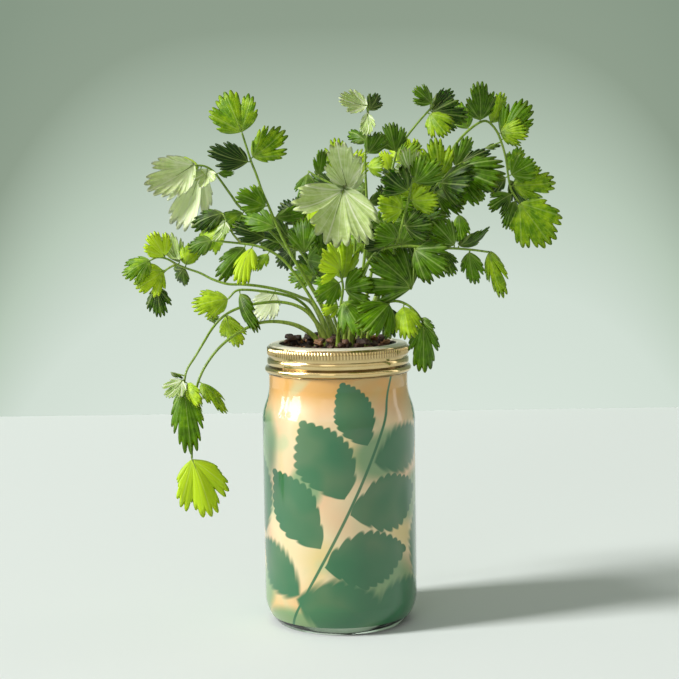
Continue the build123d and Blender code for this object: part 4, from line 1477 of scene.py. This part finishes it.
def roughened(points: np.ndarray, size: float, amount: float, seed: int) -> np.ndarray:
    """Move points by smooth noise.

    Args:
        points: the points, in units of the noise.
        size: how long the waves of the noise are.
        amount: how far the points move.
        seed: which noise it is.

    Returns:
        The moved points.
    """
    rng = np.random.default_rng(seed)
    moved = points.copy()
    for octave in range(3):
        for _ in range(4):
            way = rng.normal(size=3)
            turn = rng.uniform(0, 2 * math.pi)
            push = rng.normal(size=3)
            wave = np.sin(points @ way * (2**octave) / size + turn)
            moved += np.outer(wave, push) * amount / (2**octave) / 4
    return moved


@dataclass
class CoirBed:
    """The pressed coir plug and the loose chips and crumbs on it."""

    plug_top: float
    body: str = "insert"
    crumb_count: int = 520
    crumb_field: float = 33.5 * MM
    sectors: int = 96
    foot_share: float = 0.72
    rim_round: float = 0.8 * MM
    skin_depth: float = 0.7 * MM
    top_depth: float = 1.2 * MM
    floor_rings: tuple = (0.3, 0.6, 0.85, 1.0)
    wall_rings: int = 26
    top_rings: int = 22
    plug_tone: float = 0.35
    chip_growth: tuple = (1.12, 1.2, 1.5)
    chip_tones: tuple = (0.0, 0.08, 0.16, 0.3, 0.46)
    tone_play: float = 0.06
    chip_roundness: tuple = (0.35, 0.75)
    crumb_halves_mm: tuple = ((0.5, 1.7), (0.35, 0.8), (0.3, 0.6))
    crumb_lift_mm: tuple = (-0.3, 1.3)
    crumb_tone: float = 0.5

    def build(self, node_box: tuple[Vector, Vector], chips_node: bpy.types.Object) -> None:
        """Build the plug and the chips in place of their nodes.

        Args:
            node_box: the lowest and highest corners of the plug's node.
            chips_node: the chips' node.
        """
        plug = self.build_plug(node_box)
        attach(plug, self.body)
        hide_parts("grow_medium")
        chips = self.build_chips(chips_node)
        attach(chips, self.body)
        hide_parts("coir_chips")

    def build_plug(self, node_box: tuple[Vector, Vector]) -> bpy.types.Object:
        """Build the plug with a fibrous, crumbly skin inside its node's box.

        Args:
            node_box: the node's lowest and highest corners.

        Returns:
            The piece.
        """
        low, high = node_box
        top_radius = (high.x - low.x) / 2
        low_radius = top_radius * self.foot_share
        rim = high.z - self.rim_round
        profile = [(0.0, low.z)] + [(low_radius * s, low.z) for s in self.floor_rings]
        profile += [
            (low_radius + (top_radius - low_radius) * s, low.z + (rim - low.z) * s)
            for s in np.linspace(0.04, 1, self.wall_rings)
        ]
        profile += [(top_radius * s, high.z) for s in np.linspace(0.98, 0.0, self.top_rings)]
        verts = []
        rng = np.random.default_rng(7)
        for radius, z in profile:
            for a in 2 * math.pi * np.arange(self.sectors) / self.sectors:
                r = max(radius - rng.uniform(0, self.skin_depth), 0.0)
                drop = rng.uniform(0, self.top_depth) if z >= high.z else 0.0
                verts.append((r * math.cos(a), r * math.sin(a), z - drop))
        faces = ring_faces(len(profile), self.sectors)
        draft = MeshDraft()
        draft.add(np.array(verts), faces, tone=rng.uniform(0.0, self.plug_tone, len(verts)))
        return draft.build("coir_plug", CoirBark().material("pressed_coir_plug"))

    def build_chips(self, node: bpy.types.Object) -> bpy.types.Object:
        """Build a torn chip where the node has each plain one, and crumbs among them.

        Args:
            node: the chips' node.

        Returns:
            The piece.
        """
        draft = MeshDraft()
        template, faces = chunk_template(5)
        rng = np.random.default_rng(11)
        for index, (corners, _) in enumerate(islands(node)):
            centre = corners.mean(axis=0)
            _, _, axes = np.linalg.svd(corners - centre)
            halves = np.abs((corners - centre) @ axes.T).max(axis=0)
            round_share = rng.uniform(*self.chip_roundness)
            ball = template / np.linalg.norm(template, axis=1)[:, None] * 1.15
            form = template * (1 - round_share) + ball * round_share
            form = roughened(form, 0.7, 0.34, 100 + index)
            form[:, 2] *= 0.85 + 0.3 * np.sin(form[:, 1] * 5 + rng.uniform(0, 6))
            form *= np.array(self.chip_growth)
            tone = rng.choice(self.chip_tones)
            tone += rng.uniform(-self.tone_play, self.tone_play)
            draft.add(centre + (form * halves) @ axes, faces, tone=tone)
        small, small_faces = chunk_template(3)
        for index in range(self.crumb_count):
            spread = self.crumb_field * math.sqrt(rng.uniform(0, 1))
            a = rng.uniform(0, 2 * math.pi)
            size = np.array([rng.uniform(*halves) for halves in self.crumb_halves_mm]) * MM
            turn = rng.normal(size=(3, 3))
            axes, _ = np.linalg.qr(turn)
            lift = rng.uniform(*self.crumb_lift_mm) * MM
            centre = np.array((spread * math.cos(a), spread * math.sin(a), self.plug_top + lift))
            form = roughened(small / np.linalg.norm(small, axis=1)[:, None], 0.8, 0.4, 900 + index)
            draft.add(centre + (form * size) @ axes, small_faces, tone=rng.uniform(0.0, self.crumb_tone))
        return draft.build("coir_chip_bed", CoirBark().material("torn_coir_chips"))


@dataclass
class Wick:
    """The felt strip that hangs from the plug to the water."""

    width: float = 12 * MM
    thickness: float = 1.2 * MM
    rows: int = 90
    columns: int = 10
    fray: float = 0.03
    sway: float = 0.25 * MM
    ripple: float = 0.12 * MM
    fuzz: float = 0.05 * MM
    body: str = "insert"

    def build(self, node_box: tuple[Vector, Vector]) -> bpy.types.Object:
        """Build the strip inside its node's box.

        Args:
            node_box: the node's lowest and highest corners.

        Returns:
            The piece.
        """
        low, high = node_box
        rng = np.random.default_rng(5)
        length = high.z - low.z
        front, back = [], []
        for row in range(self.rows + 1):
            t = row / self.rows
            for column in range(self.columns + 1):
                s = column / self.columns - 0.5
                # The cut edges are a little uneven, and the strip waves slightly
                edge = 1 - self.fray * abs(math.sin(row * 1.7)) * (abs(s) > 0.45)
                x = s * self.width * edge
                bend = self.sway * math.sin(t * 7) + self.ripple * math.sin(s * 9 + t * 15)
                rough = rng.uniform(-self.fuzz, self.fuzz)
                z = high.z - t * length
                front.append((x, bend - self.thickness / 2 + rough, z))
                back.append((x, bend + self.thickness / 2 + rough, z))
        wide = self.columns + 1
        count = len(front)
        faces = []
        for row in range(self.rows):
            for column in range(self.columns):
                a = row * wide + column
                faces.append((a, a + wide, a + wide + 1, a + 1))
                faces.append((count + a, count + a + 1, count + a + wide + 1, count + a + wide))
        rim = list(range(wide)) + [r * wide + wide - 1 for r in range(1, self.rows + 1)]
        rim += [self.rows * wide + c for c in range(wide - 2, -1, -1)]
        rim += [r * wide for r in range(self.rows - 1, 0, -1)]
        for a, b in zip(rim, rim[1:] + rim[:1]):
            faces.append((a, b, count + b, count + a))
        draft = MeshDraft()
        draft.add(np.array(front + back), faces)
        piece = draft.build("felt_wick", NeedledFelt().material())
        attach(piece, self.body)
        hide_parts("wick")
        return piece


@dataclass
class ScrewBand:
    """The rolled sheet band: flat lip, ridged grip, roll, bead and hem, with its thread inside."""

    hole: float = 36.9
    top: float = 176.5
    wall: float = 44.05
    ridge_height: float = 0.5
    ridge_count: int = 140
    grip_low: float = 170.2
    grip_top: float = 174.9
    steps_per_ridge: int = 6
    inner: float = 43.55
    low: float = 158.5
    lip_curve: tuple = (
        (0.3, 0.4), (0.9, 0.5), (2.0, 0.5), (3.4, 0.42), (4.8, 0.2), (5.8, -0.15), (6.45, -0.6),
        (6.75, -1.0),
    )
    grip_middle: float = 172.6
    roll: tuple = (168.1, 163.8)
    roll_height: float = 0.75
    bead: tuple = (163.1, 159.2)
    bead_height: float = 1.95
    thread_radius: float = 43.2
    thread_wire: float = 0.8
    thread_foot: float = 161.9
    thread_pitch: float = 5.08
    thread_sides: int = 10
    body: str = "band"

    def profile(self) -> list[tuple[float, float, float, float]]:
        """The skin from the lip's underside over the top, down the outside and up the inside.

        Returns:
            Radius, height, share of the ridge height and how much painted groove shade it takes, in mm and
            shares.
        """
        wall, top, low = self.wall, self.top, self.low
        points = [(self.hole, top - 0.6, 0.0, 0.3), (self.hole, top + 0.1, 0.0, 0.0)]
        points += [(self.hole + across, top + rise, 0.0, 0.0) for across, rise in self.lip_curve]
        points += [
            (wall - 0.35, self.grip_top + 0.25, 0.0, 1.0), (wall - 0.05, self.grip_top, 0.0, 0.5),
            (wall, self.grip_top - 0.3, 1.0, 0.0), (wall, self.grip_middle, 1.0, 0.0),
            (wall, self.grip_low + 0.3, 1.0, 0.0), (wall - 0.05, self.grip_low, 0.0, 0.3),
            (wall - 0.1, self.grip_low - 1.2, 0.0, 0.05), (wall - 0.1, self.roll[0] + 0.2, 0.0, 0.1),
        ]
        points += self.bulge(*self.roll, wall - 0.1, self.roll_height)
        points.append((wall - 0.4, self.roll[1] - 0.35, 0.0, 1.0))
        points += self.bulge(*self.bead, wall + 0.15, self.bead_height)
        points += [
            (wall + 0.1, self.bead[1] - 0.15, 0.0, 1.0), (wall + 0.4, low + 0.4, 0.0, 0.6),
            (wall + 0.25, low, 0.0, 0.8), (wall - 0.1, low + 0.1, 0.0, 0.8),
            (self.inner, low + 1.1, 0.0, 0.5), (self.inner, top - 0.6, 0.0, 0.3),
        ]
        return points

    def bulge(
        self, top: float, low: float, radius: float, height: float
    ) -> list[tuple[float, float, float, float]]:
        """A round bead of the profile between two heights.

        Args:
            top: where it starts.
            low: where it ends.
            radius: the radius at both ends.
            height: how far its middle stands out.

        Returns:
            Its points.
        """
        return [
            (
                radius + height * math.sin(a) ** 0.8, (top + low) / 2 + (top - low) / 2 * math.cos(a),
                0.0, 0.8 * abs(math.cos(a)) ** 5,
            )
            for a in np.linspace(0, math.pi, 13)
        ]

    def build(self) -> bpy.types.Object:
        """Build the band in gold lacquer.

        Returns:
            The piece.
        """
        reach, height, ridge, groove_shade = np.array(self.profile()).T[..., None]
        sectors = self.ridge_count * self.steps_per_ridge
        turns = np.arange(sectors) * 2 * math.pi / sectors
        ridges = 0.5 + 0.5 * np.cos(turns * self.ridge_count)
        out = reach + ridge * self.ridge_height * ridges
        skin = np.dstack((out * np.cos(turns), out * np.sin(turns), np.broadcast_to(height, out.shape)))
        # Painted shade, darkest in the grooves and in the valleys between the grip's ridges
        depth = np.maximum(groove_shade, ridge * 0.75 * (1 - ridges) ** 1.5)
        # The lip, which takes the painted highlight, reaches from the hole to where the sheet turns down
        lip = np.clip((height - self.top + 1.4) / 0.8, 0, 1) * (reach < self.wall - 0.6)
        lip = np.broadcast_to(lip, out.shape)
        faces = flipped(ring_faces(len(out), sectors, closed=True))
        draft = MeshDraft()
        draft.add(skin.reshape(-1, 3) * MM, faces, depth=depth.ravel(), lip=lip.ravel())
        turn = np.linspace(0, 2 * math.pi, 120)
        rise = self.thread_foot + self.thread_pitch * turn / (2 * math.pi)
        thread = (self.thread_radius * np.cos(turn), self.thread_radius * np.sin(turn), rise)
        line = np.column_stack(thread) * MM
        radii = np.full(len(line), self.thread_wire * MM)
        points = tube_points(line, radii, self.thread_sides, ridges=1, ridge_share=0.0)
        draft.add(points, tube_faces(len(line), self.thread_sides))
        piece = draft.build("gold_screw_band", GoldLacqueredTinplate().material())
        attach(piece, self.body)
        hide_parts("screw_band")
        return piece


@dataclass
class Vessel:
    """The jar with its printed film and the net pot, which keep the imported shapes."""

    nodes: dict[str, bpy.types.Object]

    def dress(self) -> None:
        """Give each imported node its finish."""
        wear_material(self.nodes["glass_jar"], SodaLimeGlass().material())
        wear_material(self.nodes["film_sleeve"], PrintedShrinkFilm().material())
        wear_material(self.nodes["net_pot"], MouldedPolypropylene().material())


class Lamp(NamedTuple):
    """A rectangular lamp: its power in watts, size and place in metres, and the height it points at."""

    name: str
    power: float
    size: tuple[float, float]
    place: tuple[float, float, float]
    aim: float
    lights_surfaces: bool = True


@dataclass
class Studio:
    """A pale table before a soft green-grey wall, with a window-like lamp on the left."""

    table_back: float = 0.918
    table_front: float = -2.0
    table_half: float = 3.0
    wall: float = 1.30
    wall_half: float = 4.0
    wall_heights: tuple = (-1.0, 3.0)
    table_colour: str = "#e6ecea"
    paint_grain_mm: float = 1.5
    lamps: tuple = (
        Lamp("window_left", 2880.0, (3.0, 6.8), (-12.4, -4.06, 9.7), 0.17),
        Lamp("fill_right", 23.0, (1.5, 3.6), (4.5, 1.5, 1.5), 0.17),
        # Only metal, film and glass mirror this one
        Lamp("pane_left", 16.0, (1.0, 0.62), (-1.3, -0.14, 0.56), 0.15, False),
        Lamp("card_front", 2.0, (0.7, 0.9), (-0.5, -1.6, 0.9), 0.17),
    )
    sky: float = 0.31
    sky_in_gloss: float = 0.9
    lamp_colour: tuple = (1.0, 0.992, 0.975)
    wall_greens: tuple = (
        (0.0, "#d8e4da"), (0.25, "#d2dfd4"), (0.48, "#b8c9b8"), (0.72, "#8f9f8d"), (1.0, "#879886"),
    )
    sky_colours: tuple = ((0.0, "#a9a78e"), (0.47, "#c9cbb6"), (0.6, "#e8eadc"), (1.0, "#fffefa"))

    def build_table(self) -> None:
        """Lay the table top, a sheet with a slight unevenness."""
        half, front, back = self.table_half, self.table_front, self.table_back
        draft = MeshDraft()
        corners = [(-half, front, 0), (half, front, 0), (half, back, 0), (-half, back, 0)]
        draft.add(np.array(corners), [(0, 1, 2, 3)])
        material, tree = new_material("matt_painted_board")
        place = add_node(tree, "NewGeometry")
        # Rolled paint with its grain
        grain = add_node(
            tree, "TexNoise", {"Vector": place, "Scale": pitch(self.paint_grain_mm), "Detail": 2.0}
        )
        bump = add_node(tree, "Bump", {"Height": grain, "Strength": 0.05, "Distance": 0.1 * MM})
        surface = {
            "Base Color": linear(self.table_colour), "Roughness": 0.85, "Specular IOR Level": 0.05,
            "Normal": bump,
        }
        close_material(tree, add_node(tree, "BsdfPrincipled", surface))
        table = draft.build("table_top", material)

    def build_wall(self) -> None:
        """Stand the wall, whose light patch is part of its colour."""
        half, away, (low, high) = self.wall_half, self.wall, self.wall_heights
        draft = MeshDraft()
        corners = [(-half, away, low), (half, away, low), (half, away, high), (-half, away, high)]
        draft.add(np.array(corners), [(0, 1, 2, 3)])
        material, tree = new_material("graded_paper_wall")
        parts = add_node(tree, "SeparateXYZ", {0: add_node(tree, "NewGeometry")}).outputs
        rise = add_node(tree, "MapRange", {0: parts["Z"], 1: -0.06, 2: 0.52, 3: 0.0, 4: 0.76})
        # The patch darkens slowly to both sides and then fast, by the fourth power of the way out
        off = add_node(tree, "Math", {0: parts["X"], 1: 0.02}, operation="SUBTRACT")
        square = add_node(tree, "Math", {0: off, 1: off}, operation="MULTIPLY")
        side = add_node(tree, "Math", {0: square, 1: square}, operation="MULTIPLY")
        darker = add_node(tree, "Math", {0: side, 1: 5.0, 2: rise}, operation="MULTIPLY_ADD")
        ramp = add_node(tree, "ValToRGB", {"Fac": darker}, self.wall_greens)
        close_material(tree, add_node(tree, "Emission", {"Color": ramp, "Strength": 1.0}))
        wall = draft.build("paper_wall", material)

    def hang(self, lamp: Lamp) -> None:
        """Hang one lamp.

        Args:
            lamp: the lamp.
        """
        data = bpy.data.lights.new(lamp.name, "AREA")
        data.shape = "RECTANGLE"
        data.size, data.size_y = lamp.size
        data.energy = lamp.power
        data.color = self.lamp_colour
        obj = bpy.data.objects.new(lamp.name, data)
        obj.location = lamp.place
        aim = Vector((0, 0, lamp.aim)) - Vector(lamp.place)
        obj.rotation_euler = aim.to_track_quat("-Z", "Y").to_euler()
        obj.visible_diffuse = lamp.lights_surfaces
        bpy.context.scene.collection.objects.link(obj)

    def light(self) -> None:
        """Hang the lamps and fill the room with a plain pale sky."""
        for lamp in self.lamps:
            self.hang(lamp)
        world = bpy.data.worlds.new("pale_room")
        world.use_nodes = True
        tree = world.node_tree
        tree.nodes.clear()
        parts = add_node(tree, "SeparateXYZ", {0: add_node(tree, "TexCoord")}).outputs
        rise = add_node(tree, "MapRange", {0: parts["Z"], 1: -1.0, 2: 1.0, 3: 0.0, 4: 1.0})
        ramp = add_node(tree, "ValToRGB", {"Fac": rise}, self.sky_colours)
        # The camera, metal and glass see the pale room, which lights the object more dimly
        path = add_node(tree, "LightPath").outputs
        seen = add_node(
            tree, "Math", {0: path["Is Glossy Ray"], 1: path["Is Camera Ray"]}, operation="MAXIMUM"
        )
        through = add_node(tree, "Math", {0: seen, 1: path["Is Transmission Ray"]}, operation="MAXIMUM")
        strength = add_node(
            tree, "MapRange", {0: through, 1: 0.0, 2: 1.0, 3: self.sky, 4: self.sky_in_gloss}
        )
        back = add_node(tree, "Background", {"Color": ramp, "Strength": strength})
        add_node(tree, "OutputWorld", {"Surface": back})
        bpy.context.scene.world = world


def main() -> None:
    """Load the frame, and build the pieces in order."""
    logging.basicConfig(level=logging.INFO, format="%(message)s")
    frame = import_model()
    nodes = frame["nodes"]
    view = PhotoView()
    view.camera()
    bpy.context.scene.view_settings.view_transform = "Standard"

    Vessel(nodes).dress()
    log.info("vessel dressed")
    ScrewBand().build()
    log.info("screw band built")
    plug_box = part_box("grow_medium")
    plug_top = plug_box[1].z
    CoirBed(plug_top).build(plug_box, nodes["coir_chips"])
    log.info("coir bed built")
    Wick().build(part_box("wick"))
    log.info("wick built")
    Herb(view, plug_top).build(nodes)
    studio = Studio()
    studio.build_table()
    studio.build_wall()
    studio.light()
    log.info("studio built")
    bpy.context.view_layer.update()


if __name__ == "__main__":
    main()
